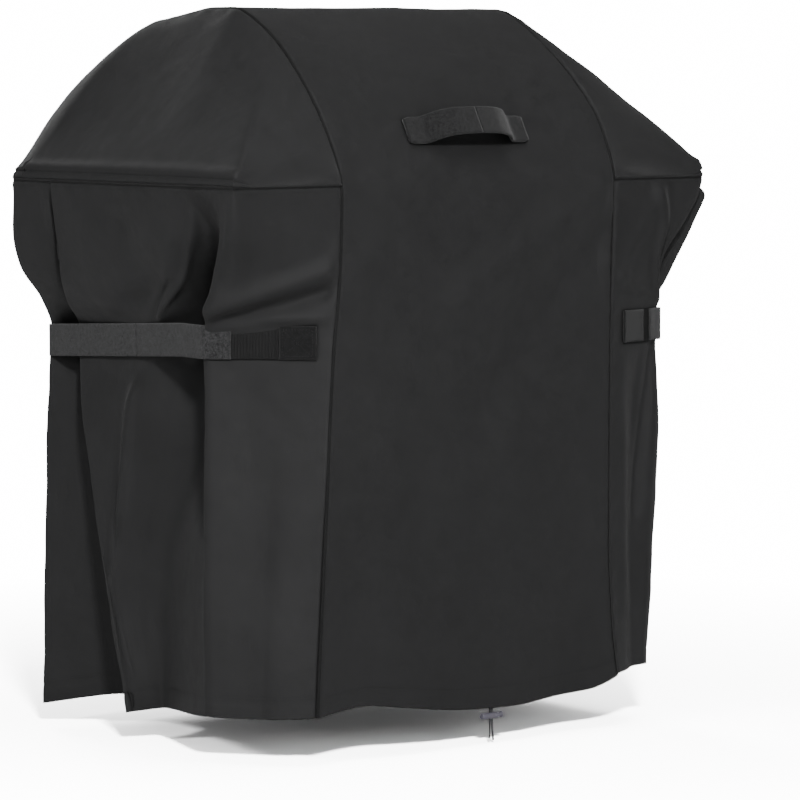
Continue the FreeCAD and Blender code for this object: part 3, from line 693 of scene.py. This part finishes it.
def gusset(side, top_row, seed):
    """The sloping end: from the hood's seam down to the shelf's edge, over it, and to the shelf seam."""
    seam_s = LEVEL_AT_FRONT + spaced(LEVEL_AT_REAR - LEVEL_AT_FRONT, 5.6)
    upper = strip_seam(side, seam_s)
    t = (seam_s - seam_s[0]) / (seam_s[-1] - seam_s[0])
    outline = top_row.copy()
    length = along(outline[:, :2])
    total = length[-1]
    share = np.interp(t, [0, 0.09, 0.30, 0.62, 0.92, 1], [0, 165 / total, 205 / total, (total - 225) / total,
                                                          (total - 172) / total, 1])
    lower = np.stack([np.interp(share * total, length, outline[:, k]) for k in range(3)], axis=1)
    for _ in range(6):
        lower[1:-1] = (lower[:-2] + 2 * lower[1:-1] + lower[2:]) / 4
    lip = smooth([0, 0.08, 0.18, 0.36, 0.9, 1], [2, 3, 8, 14, 15, 5], t)[:, None]
    span = np.linalg.norm(upper - lower, axis=1).max()
    v = spaced(span, 5.6, NEAR_SEAM, (0,)) / span
    edge = lower + lip * np.array([0, 0, 1])
    grid = upper[:, None] * (1 - v)[None, :, None] + edge[:, None] * v[None, :, None]
    lean = smooth([0, 0.3, 0.62, 1], [-0.5, -0.1, 0.3, 0.8], t)
    away = np.stack([np.full_like(t, side), lean, np.full_like(t, 0.35)], axis=1)
    away /= np.linalg.norm(away, axis=1, keepdims=True)
    if side == LEFT:
        swell = smooth([0, 0.1, 0.3, 0.5, 0.68, 0.85, 1], [0, 3, 5, 5, 26, 36, 0], t)
        crown_shape = v**0.6 * (1 - v) ** 1.6 / 0.2755
    else:
        swell = smooth([0, 0.1, 0.3, 0.5, 0.68, 0.85, 1], [0, 8, 19, 21, 24, 30, 0], t)
        crown_shape = v**0.45 * (1 - v) ** 0.5 / 0.518
    grid += away[:, None] * (swell[:, None] * crown_shape[None, :])[..., None]
    tangent = np.gradient(lower, axis=0)
    outward = np.stack([tangent[:, 1], -tangent[:, 0], 0 * t], axis=1)
    outward *= np.sign((outward * (lower - np.array([side * 330, 0, 0]))).sum(axis=1))[:, None]
    outward /= np.maximum(np.linalg.norm(outward, axis=1, keepdims=True), 1e-9)
    up, radius, last = np.array([0, 0, 1]), lip * 0.8, []
    for degrees in np.linspace(12, 90, 7):
        turn = math.radians(degrees)
        last.append(lower + outward * (radius * (math.sin(turn) - 1) * 0.7 + 0.8)
                    + up * (lip - radius + radius * math.cos(turn)))
    for d in reversed(NEAR_SEAM):
        last.append(lower + outward * 0.8 + up * (lip - radius) * d / max(NEAR_SEAM))
    grid = np.concatenate([grid[:, :-1], np.stack(last, axis=1)], axis=1)
    from_top = np.concatenate([v[:-1] * span, np.full(len(last), span)])
    steps = np.linalg.norm(np.diff(grid, axis=1), axis=2)
    from_bottom = np.concatenate([np.cumsum(steps[:, ::-1], axis=1)[:, ::-1], np.zeros((len(t), 1))], axis=1)
    grid = metres(grid)
    normal = grid_normals(grid)
    if normal[len(t) // 2, 5, 2] < 0:
        normal = -normal
    lift = -2.6 * bell(from_top, 2.6)[None, :] - 2.0 * bell(from_bottom, 2.2)
    uu, vv = t[:, None] * 860 + 0 * from_top[None, :], from_bottom
    folds = (
        ridge(uu, vv, (150, 30), (620, 26), 10, 4)
        - ridge(uu, vv, (120, 120), (430, 260), 40, 2.0)
        + ridge(uu, vv, (330, 150), (480, 330), 34, 1.5)
        + ridge(uu, vv, (590, 10), (600, 36), 5, 2.0)
        - ridge(uu, vv, (575, 12), (582, 40), 4, 1.6)
    )
    fade = np.clip(t * (1 - t) * 60, 0, 1)[:, None] * np.clip(from_top / 30, 0, 1)[None, :]
    lift = lift + folds * fade * np.clip(from_bottom / 8, 0, 1)
    pucker = 0.6 * np.sin(seam_s / 5.7)[:, None] * bell(from_top - 9, 6)[None, :]
    lift = lift + pucker
    grid = grid + normal * (lift / 1000)[..., None]
    calm = fade * np.clip(from_bottom / 16, 0, 1)
    grid = rumple(grid, normal, 0.13, 0.0018, seed, calm)
    grid = rumple(grid, normal, 0.035, 0.0006, seed + 1, calm)
    return grid, normal


# ---------------------------------------------------------------- seams, hems, stitches


def swept(name, path, outward, section, material):
    """A closed strip along a path. Section points are (out, up) in metres, up being across both others."""
    path, outward = np.asarray(path, float), np.asarray(outward, float)
    tangent = np.gradient(path, axis=0)
    tangent /= np.maximum(np.linalg.norm(tangent, axis=1, keepdims=True), 1e-9)
    outward = outward - tangent * (outward * tangent).sum(axis=1, keepdims=True)
    outward /= np.maximum(np.linalg.norm(outward, axis=1, keepdims=True), 1e-9)
    up = np.cross(outward, tangent)
    rings = np.stack([path + outward * o + up * w for o, w in section], axis=1)
    rows, columns = rings.shape[:2]
    faces = quads(rows, columns, ring=True)
    faces += [tuple(range(columns)), tuple(range((rows - 1) * columns, rows * columns))[::-1]]
    around = along(np.array([*section, section[0]]))[:-1]
    uvs = np.stack([around[None, :].repeat(rows, 0), along(path)[:, None].repeat(columns, 1)], axis=2)
    made = mesh_object(name, rings.reshape(-1, 3), faces, material, uvs.reshape(-1, 2))
    turn_out(made)
    return made


def turn_out(made):
    """Turns a closed mesh's faces outwards."""
    work = bmesh.new()
    work.from_mesh(made.data)
    bmesh.ops.recalc_face_normals(work, faces=work.faces)
    work.to_mesh(made.data)
    work.free()


def lap_section(half, thick):
    """A thin lap with soft edges."""
    return [(-0.0006, -half), (thick * 0.55, -half * 0.9), (thick, -half * 0.55), (thick * 0.8, 0),
            (thick, half * 0.55), (thick * 0.55, half * 0.9), (-0.0006, half), (-0.0012, 0)]


def stitches(name, rows, material, pitch=0.0042, length=0.0031, width=0.0008, height=0.0006):
    """Rows of sewn stitches. Each row is a path and the outward normals along it."""
    points, faces = [], []
    for path, outward in rows:
        path, outward = np.asarray(path, float), np.asarray(outward, float)
        s = along(path)
        for k in range(int(s[-1] / pitch)):
            ends = [(k + 0.5) * pitch - length / 2, (k + 0.5) * pitch, (k + 0.5) * pitch + length / 2]
            p = np.stack([np.interp(ends, s, path[:, i]) for i in range(3)], axis=1)
            n = np.array([np.interp(ends[1], s, outward[:, i]) for i in range(3)])
            n /= max(np.linalg.norm(n), 1e-9)
            t = p[2] - p[0]
            t /= max(np.linalg.norm(t), 1e-9)
            b = np.cross(n, t) * width / 2
            base = len(points)
            points += [p[0] - n * 0.0004, p[1] + b + n * height * 0.3, p[1] + n * height,
                       p[1] - b + n * height * 0.3, p[1] - n * 0.0004, p[2] - n * 0.0004]
            for a, c in ((1, 2), (2, 3), (3, 4), (4, 1)):
                faces += [(base, base + a, base + c), (base + 5, base + c, base + a)]
    made = mesh_object(name, points, faces, material)
    turn_out(made)
    return made


def lifted(path, outward, by):
    return np.asarray(path) + np.asarray(outward) * by


# ---------------------------------------------------------------- build the cloth

strip_s, strip, strip_normal = centre_strip()
centre = cloth_sheet("centre_cloth", strip, strip_normal, CLOTH)
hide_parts("centre_panel")
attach(centre, "cover")

pieces_by_side = {}
for side, seed in ((LEFT, 11), (RIGHT, 31)):
    word = SIDES[side]
    grid, normal = skirt(side, seed)
    made = cloth_sheet(f"{word}_skirt_cloth", grid, normal, CLOTH)
    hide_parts(f"{word}_side_skirt")
    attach(made, "cover")
    top_row, *_ = skirt_shape(side)
    dome, dome_normal = gusset(side, top_row[0], seed + 5)
    end = cloth_sheet(f"{word}_gusset_cloth", dome, dome_normal, CLOTH)
    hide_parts(f"{word}_end_gusset")
    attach(end, "cover")
    pieces_by_side[side] = (grid, normal)


# ---------------------------------------------------------------- seams, hems and their stitches


def ride_as(made, body, slot, *nodes):
    """The piece goes under the body given, and the CAD nodes given are hidden; the slot is not used."""
    if nodes:
        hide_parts(*nodes)
    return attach(made, body)


HEM_SECTION = [(-0.0013, -0.0120), (-0.0013, 0.0125), (-0.0024, 0.0148), (-0.0052, 0.0150), (-0.0094, 0.0132),
               (-0.0122, 0.0080), (-0.0128, 0.0), (-0.0124, -0.0080), (-0.0096, -0.0136), (-0.0054, -0.0148),
               (-0.0024, -0.0140)]


def hem(name, row, normal, replaced):
    made = swept(name, row, normal, HEM_SECTION, LINING)
    return ride_as(made, "cover", "cloth", *replaced)


hem("front_hem_casing", strip[4, 2:-2], strip_normal[4, 2:-2], ["front_hem", "drawcord"])
hem("rear_hem_casing", strip[-5, 2:-2], strip_normal[-5, 2:-2], ["rear_hem"])
stitched_rows = [(lifted(strip[7, 3:-3], strip_normal[7, 3:-3], 0.0001), strip_normal[7, 3:-3]),
                 (lifted(strip[-8, 3:-3], strip_normal[-8, 3:-3], 0.0001), strip_normal[-8, 3:-3])]
for side, word in SIDES.items():
    grid, normal = pieces_by_side[side]
    hem(f"{word}_hem_casing", grid[-5, 3:-3], normal[-5, 3:-3], [f"{word}_hem"])
    stitched_rows.append((grid[-8, 3:-3], normal[-8, 3:-3]))
    path = strip_seam(side, strip_s)
    hem_fall = strip[:, 0 if side == LEFT else -1, 2] - metres(path)[:, 2]
    path = metres(path)
    path[:, 2] = path[:, 2] + np.where(path[:, 2] < -0.7, hem_fall, 0)
    edge = 0 if side == LEFT else -1
    outward = strip_normal[:, edge] + np.array([side * 0.8, 0, 0])
    outward /= np.linalg.norm(outward, axis=1, keepdims=True)
    welt = swept(f"{word}_arc_seam_welt", path - outward * 0.0019, outward, lap_section(0.0026, 0.0010), SEAM)
    ride_as(welt, "cover", "seam", f"{word}_arc_seam")
    top_path = metres(skirt_shape(side)[0][0])
    plan = np.gradient(top_path, axis=0)
    out = np.stack([plan[:, 1], -plan[:, 0], np.zeros(len(plan))], axis=1)
    out *= np.sign((out * (top_path - np.array([side * 0.33, 0, top_path[0, 2]]))).sum(axis=1))[:, None]
    out /= np.maximum(np.linalg.norm(out, axis=1, keepdims=True), 1e-9)
    welt = swept(f"{word}_shelf_seam_welt", top_path - out * 0.0019, out, lap_section(0.0026, 0.0010), SEAM)
    ride_as(welt, "cover", "seam", f"{word}_shelf_seam")
    column = 4 if side == LEFT else -5
    rows = [(strip[8:-8, column], strip_normal[8:-8, column]), (grid[4, 4:-4], normal[4, 4:-4])]
    sewn = stitches(f"{word}_seam_stitches", rows, DARK_THREAD, height=0.0005)
    ride_as(sewn, "cover", "thread")
ride_as(stitches("hem_stitches", stitched_rows, DARK_THREAD, height=0.0005), "cover", "thread")


# ---------------------------------------------------------------- straps

SHOULDERS = {LEFT: (-405, -155), RIGHT: (405, -264)}
PAD_LENGTH = {LEFT: 105, RIGHT: 46}
TONGUE_LAP = {LEFT: 42, RIGHT: 36}
REAR_TUCK = 0.002  # the rear band starts this share of a stretch early, so that the two bands meet
STRAP_FALL = 22.0


def band_section(thick, width=0.05):
    """Webbing seen on end: flat, with thinner selvedges and a slight hollow along its middle."""
    half, t = width / 2, thick / 2
    outer = [(t * 0.35, half), (t * 0.9, half * 0.97), (t * 1.08, half * 0.86), (t, half * 0.5),
             (t * 0.96, 0)]
    outer += [(o, -w) for o, w in reversed(outer[:-1])]
    return outer + [(-o, -w) for o, w in outer]


def side_line(side):
    """The strap's line in plan: front seam, shoulder and rear corner, with directions and normals."""
    seam, shoulder = np.array([side * HALF, FRONT]), np.array(SHOULDERS[side], float)
    corner = np.array([side * 367.0, 290.0])
    front, rear = shoulder - seam, corner - shoulder
    front, rear = front / np.linalg.norm(front), rear / np.linalg.norm(rear)
    normals = [np.array([-d[1], d[0]]) * (1 if -d[1] * side > 0 else -1) for d in (front, rear)]
    return seam, shoulder, corner, front, rear, normals


def plan_outward(path, side):
    """Horizontal normals of a path that goes round the side, pointing away from the cover."""
    way = np.gradient(path, axis=0)
    out = np.stack([way[:, 1], -way[:, 0], np.zeros(len(way))], axis=1)
    out /= np.maximum(np.linalg.norm(out, axis=1, keepdims=True), 1e-9)
    away = path - np.array([side * 0.30, 0, 0])
    return out * np.sign((out * away)[:, :2].sum(axis=1))[:, None]


def box_stitch(centre, along_way, up_way, normal, half_along, half_up):
    """Stitch rows in a box with a cross, on a face."""
    def at(a, b):
        return centre + along_way * a * half_along + up_way * b * half_up

    rows = []
    for (a, b), (c, d) in (((-1, -1), (1, -1)), ((1, -1), (1, 1)), ((1, 1), (-1, 1)), ((-1, 1), (-1, -1)),
                           ((-1, -1), (1, 1)), ((-1, 1), (1, -1))):
        line = np.linspace(at(a, b), at(c, d), 12)
        rows.append((line, np.repeat(normal[None], 12, axis=0)))
    return rows


def make_straps(side):
    word = SIDES[side]
    seam, shoulder, corner, front, rear, (n_front, n_rear) = side_line(side)
    up = np.array([0, 0, 1.0])

    def on_front(distance, off, height=STRAP_MIDDLE):
        return np.array([*(seam + front * distance + n_front * off), height])

    flat_front = np.array([*n_front, 0.0])

    def front_piece(name, start, end, off, thick, material):
        line = metres(np.linspace(on_front(start, off), on_front(end, off), 16))
        return swept(name, line, np.repeat(flat_front[None], 16, 0), band_section(thick), material)

    anchor = front_piece(f"{word}_anchor_patch", 25, 81, 1.9, 0.003, BLACK_WEB)
    ride_as(anchor, "cover", "black_webbing", f"{word}_strap_anchor")
    centre_point = metres([on_front(53, 3.5)])[0]
    rows = box_stitch(centre_point, np.array([*front, 0]), up, flat_front, 0.0225, 0.0195)
    ride_as(stitches(f"{word}_anchor_stitches", rows, THREAD), "cover", "thread", f"{word}_anchor_stitching")
    pad_end = 81.5 + PAD_LENGTH[side]
    pad = front_piece(f"{word}_hook_pad", 81.5, pad_end, 1.4, 0.002, HOOKS)
    ride_as(pad, "cover", "hook_tape", f"{word}_strap_hook_pad")
    edge_rows = []
    for height in (-21.5, 21.5):
        line = metres(np.linspace(on_front(84, 2.5, STRAP_MIDDLE + height),
                                  on_front(pad_end - 3, 2.5, STRAP_MIDDLE + height), 12))
        edge_rows.append((line, np.repeat(flat_front[None], 12, 0)))
    ride_as(stitches(f"{word}_pad_stitches", edge_rows, THREAD), "cover", "thread")

    lap = TONGUE_LAP[side]
    reach = np.linalg.norm(shoulder - seam)
    tip = on_front(reach - lap, 3.9)
    bend = np.array([*(shoulder + (n_front + n_rear) / (1 + n_front @ n_rear) * 2.7), STRAP_MIDDLE])
    heel = np.array([*(shoulder + rear * 60 + n_rear * 1.4), STRAP_MIDDLE])
    middle_share = 0.42
    run = np.linalg.norm(corner - shoulder)
    middle = np.array([*(shoulder + rear * run * middle_share + n_rear * 1.4),
                       STRAP_MIDDLE - STRAP_FALL * (run * middle_share - 60) / (run - 60)])
    low_end = STRAP_MIDDLE - STRAP_FALL
    rear_bend = np.array([*(corner + np.array([side * 6.5, 1.8])), low_end])
    rear_seam = np.array([side * HALF, 298.0])
    rear_way = (rear_seam - corner) / np.linalg.norm(rear_seam - corner)
    rear_normal = np.array([-rear_way[1], rear_way[0]])
    rear_normal = rear_normal if rear_normal[1] > 0 else -rear_normal
    rear_end = np.array([*(corner + rear_way * 61 + rear_normal * 1.4), low_end])

    def band(name, points):
        path = metres(rounded(points, 4, 7))
        way = along(path)
        wave = 0.0006 * np.sin(way / 0.021 + side)
        outward = plan_outward(path, side)
        path = path + outward * (wave * np.clip(np.minimum(way, way[-1] - way) / 0.03, 0, 1))[:, None]
        return swept(name, path, outward, band_section(0.002), GREY_WEB)

    body, end_body = f"{word}_strap", f"{word}_strap_end"
    tongue = band(f"{word}_strap_front", [tip, bend, heel, middle])
    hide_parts(f"{word}_strap_tongue")
    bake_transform(tongue)
    back = band(f"{word}_strap_rear", [middle - (middle - heel) * REAR_TUCK, rear_bend, rear_end])
    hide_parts(f"{word}_strap_webbing", f"{word}_strap_rear_anchor")
    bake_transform(back)
    tip_rows = []
    for inset in (5, 17):
        line = metres(np.stack([on_front(reach - lap + inset, 5.0, STRAP_MIDDLE + h)
                                for h in np.linspace(-22, 22, 12)]))
        tip_rows.append((line, np.repeat(flat_front[None], 12, 0)))
    ride_as(stitches(f"{word}_tip_stitches", tip_rows, THREAD), end_body, "thread")
    rear_face = np.array([*rear_normal, 0.0])
    centre_point = metres([[*(corner + rear_way * 38 + rear_normal * 2.5), low_end]])[0]
    rows = box_stitch(centre_point, np.array([*rear_way, 0]), up, rear_face, 0.0195, 0.0195)
    ride_as(stitches(f"{word}_rear_stitches", rows, THREAD), "cover", "thread")


make_straps(LEFT)
make_straps(RIGHT)


# ---------------------------------------------------------------- handle

HANDLE_PLACE = np.array([0, -0.2693, -0.183])
HANDLE_OUT, HANDLE_UP = np.array([0, -0.874, 0.486]), np.array([0, 0.486, 0.874])
HANDLE_RISE = ([0, 35, 58, 70, 80, 89, 116], [35, 33, 26, 17.5, 7, 3.4, 2.9])


def handle_point(across, up=0.0, over=0.0):
    """A point of the handle's middle line in metres, moved up the slope and off the band."""
    rise = smooth(*HANDLE_RISE, np.abs(np.atleast_1d(across)))[:, None] / 1000
    place = HANDLE_PLACE + HANDLE_OUT * (rise + over) + HANDLE_UP * up
    place[:, 0] = np.atleast_1d(across) / 1000
    return place


def handle_half(side):
    word = SIDES[side]
    across = side * np.linspace(116, 0, 48)
    path = handle_point(across)
    way = np.gradient(path, axis=0)
    out = np.cross(way, HANDLE_UP)
    out /= np.linalg.norm(out, axis=1, keepdims=True)
    out *= np.sign(out @ HANDLE_OUT)[:, None]
    rounding = np.concatenate([np.linspace(0.86, 1, 5), np.ones(43)])
    made = swept(f"handle_{word}", path, out, band_section(0.0046, 0.045), HANDLE_WEB)
    ring = len(band_section(0.0046))
    for k in range(5):
        for v in range(k * ring, (k + 1) * ring):
            point = made.data.vertices[v].co
            up = (np.array(point) - path[k]) @ HANDLE_UP
            point += Vector(HANDLE_UP * up * (rounding[k] - 1))
    rows = []
    for up in (-0.0185, 0.0185):
        rows.append((path[2:] + HANDLE_UP * up + out[2:] * 0.0023, out[2:]))
    edges = stitches(f"handle_{word}_edge_stitches", rows, THREAD)
    for piece, slot in ((made, "black_webbing"), (edges, "thread")):
        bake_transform(piece)
    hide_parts(f"handle_{word}_end", "handle_loop")
    centre_point = handle_point([side * 100.0], 0, 0.0024)[0]
    rows = box_stitch(centre_point, np.array([1.0, 0, 0]), HANDLE_UP, HANDLE_OUT, 0.0125, 0.0165)
    sewn = stitches(f"handle_{word}_stitches", rows, THREAD)
    ride_as(sewn, "cover", "thread", f"handle_{word}_stitching")


handle_half(LEFT)
handle_half(RIGHT)


# ---------------------------------------------------------------- drawcord ends and the cord lock

CORD_X, CORD_Y, CORD_SIZE, SPREAD = 35.0, -290.5, 0.003, 2.2


def cord_tail(side, sway, end):
    """One free end of the drawcord: out of the casing, down through the lock, and hanging."""
    route = [(CORD_X + side * (SPREAD + 20), CORD_Y, 15), (CORD_X + side * SPREAD, CORD_Y, 15),
             (CORD_X + side * (SPREAD + 0.3), CORD_Y - 0.2, -23),
             (CORD_X + side * (SPREAD - 0.2), CORD_Y + 0.2, -44),
             (CORD_X + side * SPREAD + sway, CORD_Y - 1.5, end)]
    curve = bpy.data.curves.new(f"drawcord_end_{SIDES[side]}", "CURVE")
    curve.dimensions = "3D"
    spline = curve.splines.new("NURBS")
    spline.points.add(len(route) - 1)
    for point, place in zip(spline.points, metres(route)):
        point.co = (*place, 1)
    spline.order_u = 3
    spline.use_endpoint_u = True
    curve.resolution_u = 16
    curve.bevel_depth, curve.bevel_resolution, curve.use_fill_caps = CORD_SIZE / 2, 5, True
    made = bpy.data.objects.new(curve.name, curve)
    bpy.context.scene.collection.objects.link(made)
    curve.materials.append(CORD)
    ride_as(made, "cover", "cord", f"drawcord_tail_{SIDES[side]}")
    return made


nodes = frame["nodes"]
for node, material in (("cord_lock_barrel", PLASTIC), ("cord_lock_button", PLASTIC),
                       ("handle_backing", LINING)):
    for holder in nodes[node].material_slots:
        holder.material = material


def lock_spring():
    """The coil in the lock, which moves with the lock."""
    low, high = (np.array(corner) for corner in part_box("cord_lock_spring"))
    centre, radius, wire = (low + high) / 2, (high[2] - low[2]) / 2 - 0.0003, 0.0003
    turns, rings = 4, 96
    angle = np.linspace(0, turns * 2 * math.pi, rings)
    path = np.stack([np.linspace(low[0] + wire, high[0] - wire, rings), centre[1] + radius * np.cos(angle),
                     centre[2] + radius * np.sin(angle)], axis=1)
    outward = np.stack([0 * angle, np.cos(angle), np.sin(angle)], axis=1)
    section = [(wire * math.cos(a), wire * math.sin(a)) for a in np.linspace(0, 2 * math.pi, 9)[:-1]]
    made = swept("lock_spring", path, outward, section, STEEL)
    ride_as(made, "cord_lock", "spring_steel", "cord_lock_spring")
    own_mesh(made)
    return made


spring = lock_spring()
exit_place = tuple(float(a) for a in metres([(CORD_X, CORD_Y, 0)])[0])
left_tail, right_tail = cord_tail(LEFT, -1.5, -61), cord_tail(RIGHT, 1.2, -65)


# ---------------------------------------------------------------- floor, light and camera


WORLD_LIGHT, SEEN_WHITE, FLOOR_GAIN = 0.08, 16.0, 22.0


def floor():
    """A pale round floor whose edge fades into the white around it."""
    shader = Shader("pale_floor", (0.8, 0.8, 0.8), 0.9)
    place = shader.object_place()
    seen = shader.add("BsdfDiffuse", Color=(FLOOR_GAIN, FLOOR_GAIN, FLOOR_GAIN, 1))
    length = shader.nodes.new("ShaderNodeVectorMath")
    length.operation = "LENGTH"
    shader.links.new(place, length.inputs[0])
    fade = shader.mapped(length.outputs["Value"], 0.75, 1.9, 0, 1)
    glow = shader.add("Emission", Color=(1, 1, 1, 1), Strength=SEEN_WHITE)
    white = shader.nodes.new("ShaderNodeMixShader")
    shader.links.new(fade, white.inputs[0])
    shader.links.new(seen.outputs[0], white.inputs[1])
    shader.links.new(glow.outputs[0], white.inputs[2])
    ray = shader.nodes.new("ShaderNodeLightPath")
    mix = shader.nodes.new("ShaderNodeMixShader")
    shader.links.new(ray.outputs["Is Camera Ray"], mix.inputs[0])
    shader.links.new(shader.surface.outputs[0], mix.inputs[1])
    shader.links.new(white.outputs[0], mix.inputs[2])
    shader.links.new(mix.outputs[0], shader.nodes["Material Output"].inputs["Surface"])
    bpy.ops.mesh.primitive_circle_add(vertices=96, radius=9, fill_type="NGON", location=(0, 0, -1.112))
    made = bpy.context.object
    made.name = "floor"
    made.data.materials.append(shader.material)


def light(name, place, aim, size, power):
    lamp = bpy.data.lights.new(name, "AREA")
    lamp.shape, lamp.size, lamp.energy = "DISK", size, power
    made = bpy.data.objects.new(name, lamp)
    made.location = place
    made.rotation_euler = (Vector(aim) - Vector(place)).to_track_quat("-Z", "Y").to_euler()
    bpy.context.scene.collection.objects.link(made)


floor()
light("key", (-2.9, -4.4, 2.3), (0, 0, -0.3), 0.6, 205)
light("side", (-4.4, -0.2, 1.4), (0, 0, -0.4), 0.8, 18)
light("fill", (-0.6, -5.0, 0.6), (0, 0, -0.5), 1.6, 7)
light("top", (0.2, -0.8, 3.0), (0, 0, -0.2), 1.8, 16)
light("rear", (1.0, 4.4, 1.4), (0, 0, -0.4), 2.0, 40)


def studio_world():
    """White all round: bright where it is seen, and soft where it lights."""
    made = bpy.data.worlds.new("studio")
    made.use_nodes = True
    nodes, links = made.node_tree.nodes, made.node_tree.links
    ray = nodes.new("ShaderNodeLightPath")
    strength = nodes.new("ShaderNodeMapRange")
    strength.inputs["To Min"].default_value = WORLD_LIGHT
    strength.inputs["To Max"].default_value = SEEN_WHITE
    links.new(ray.outputs["Is Camera Ray"], strength.inputs["Value"])
    background = nodes["Background"]
    background.inputs["Color"].default_value = (1, 1, 1, 1)
    links.new(strength.outputs[0], background.inputs["Strength"])
    bpy.context.scene.world = made


studio_world()

camera_data = bpy.data.cameras.new("camera")
camera_data.lens, camera_data.sensor_width = 185.2, 36
camera = bpy.data.objects.new("camera", camera_data)
camera.location = (-4.0064, -4.9837, -0.0703)
turn, dip = math.radians(39.456), math.radians(-4.788)
facing = Vector((math.sin(turn) * math.cos(dip), math.cos(turn) * math.cos(dip), math.sin(dip)))
camera.rotation_euler = facing.to_track_quat("-Z", "Y").to_euler()
bpy.context.scene.collection.objects.link(camera)
bpy.context.scene.camera = camera
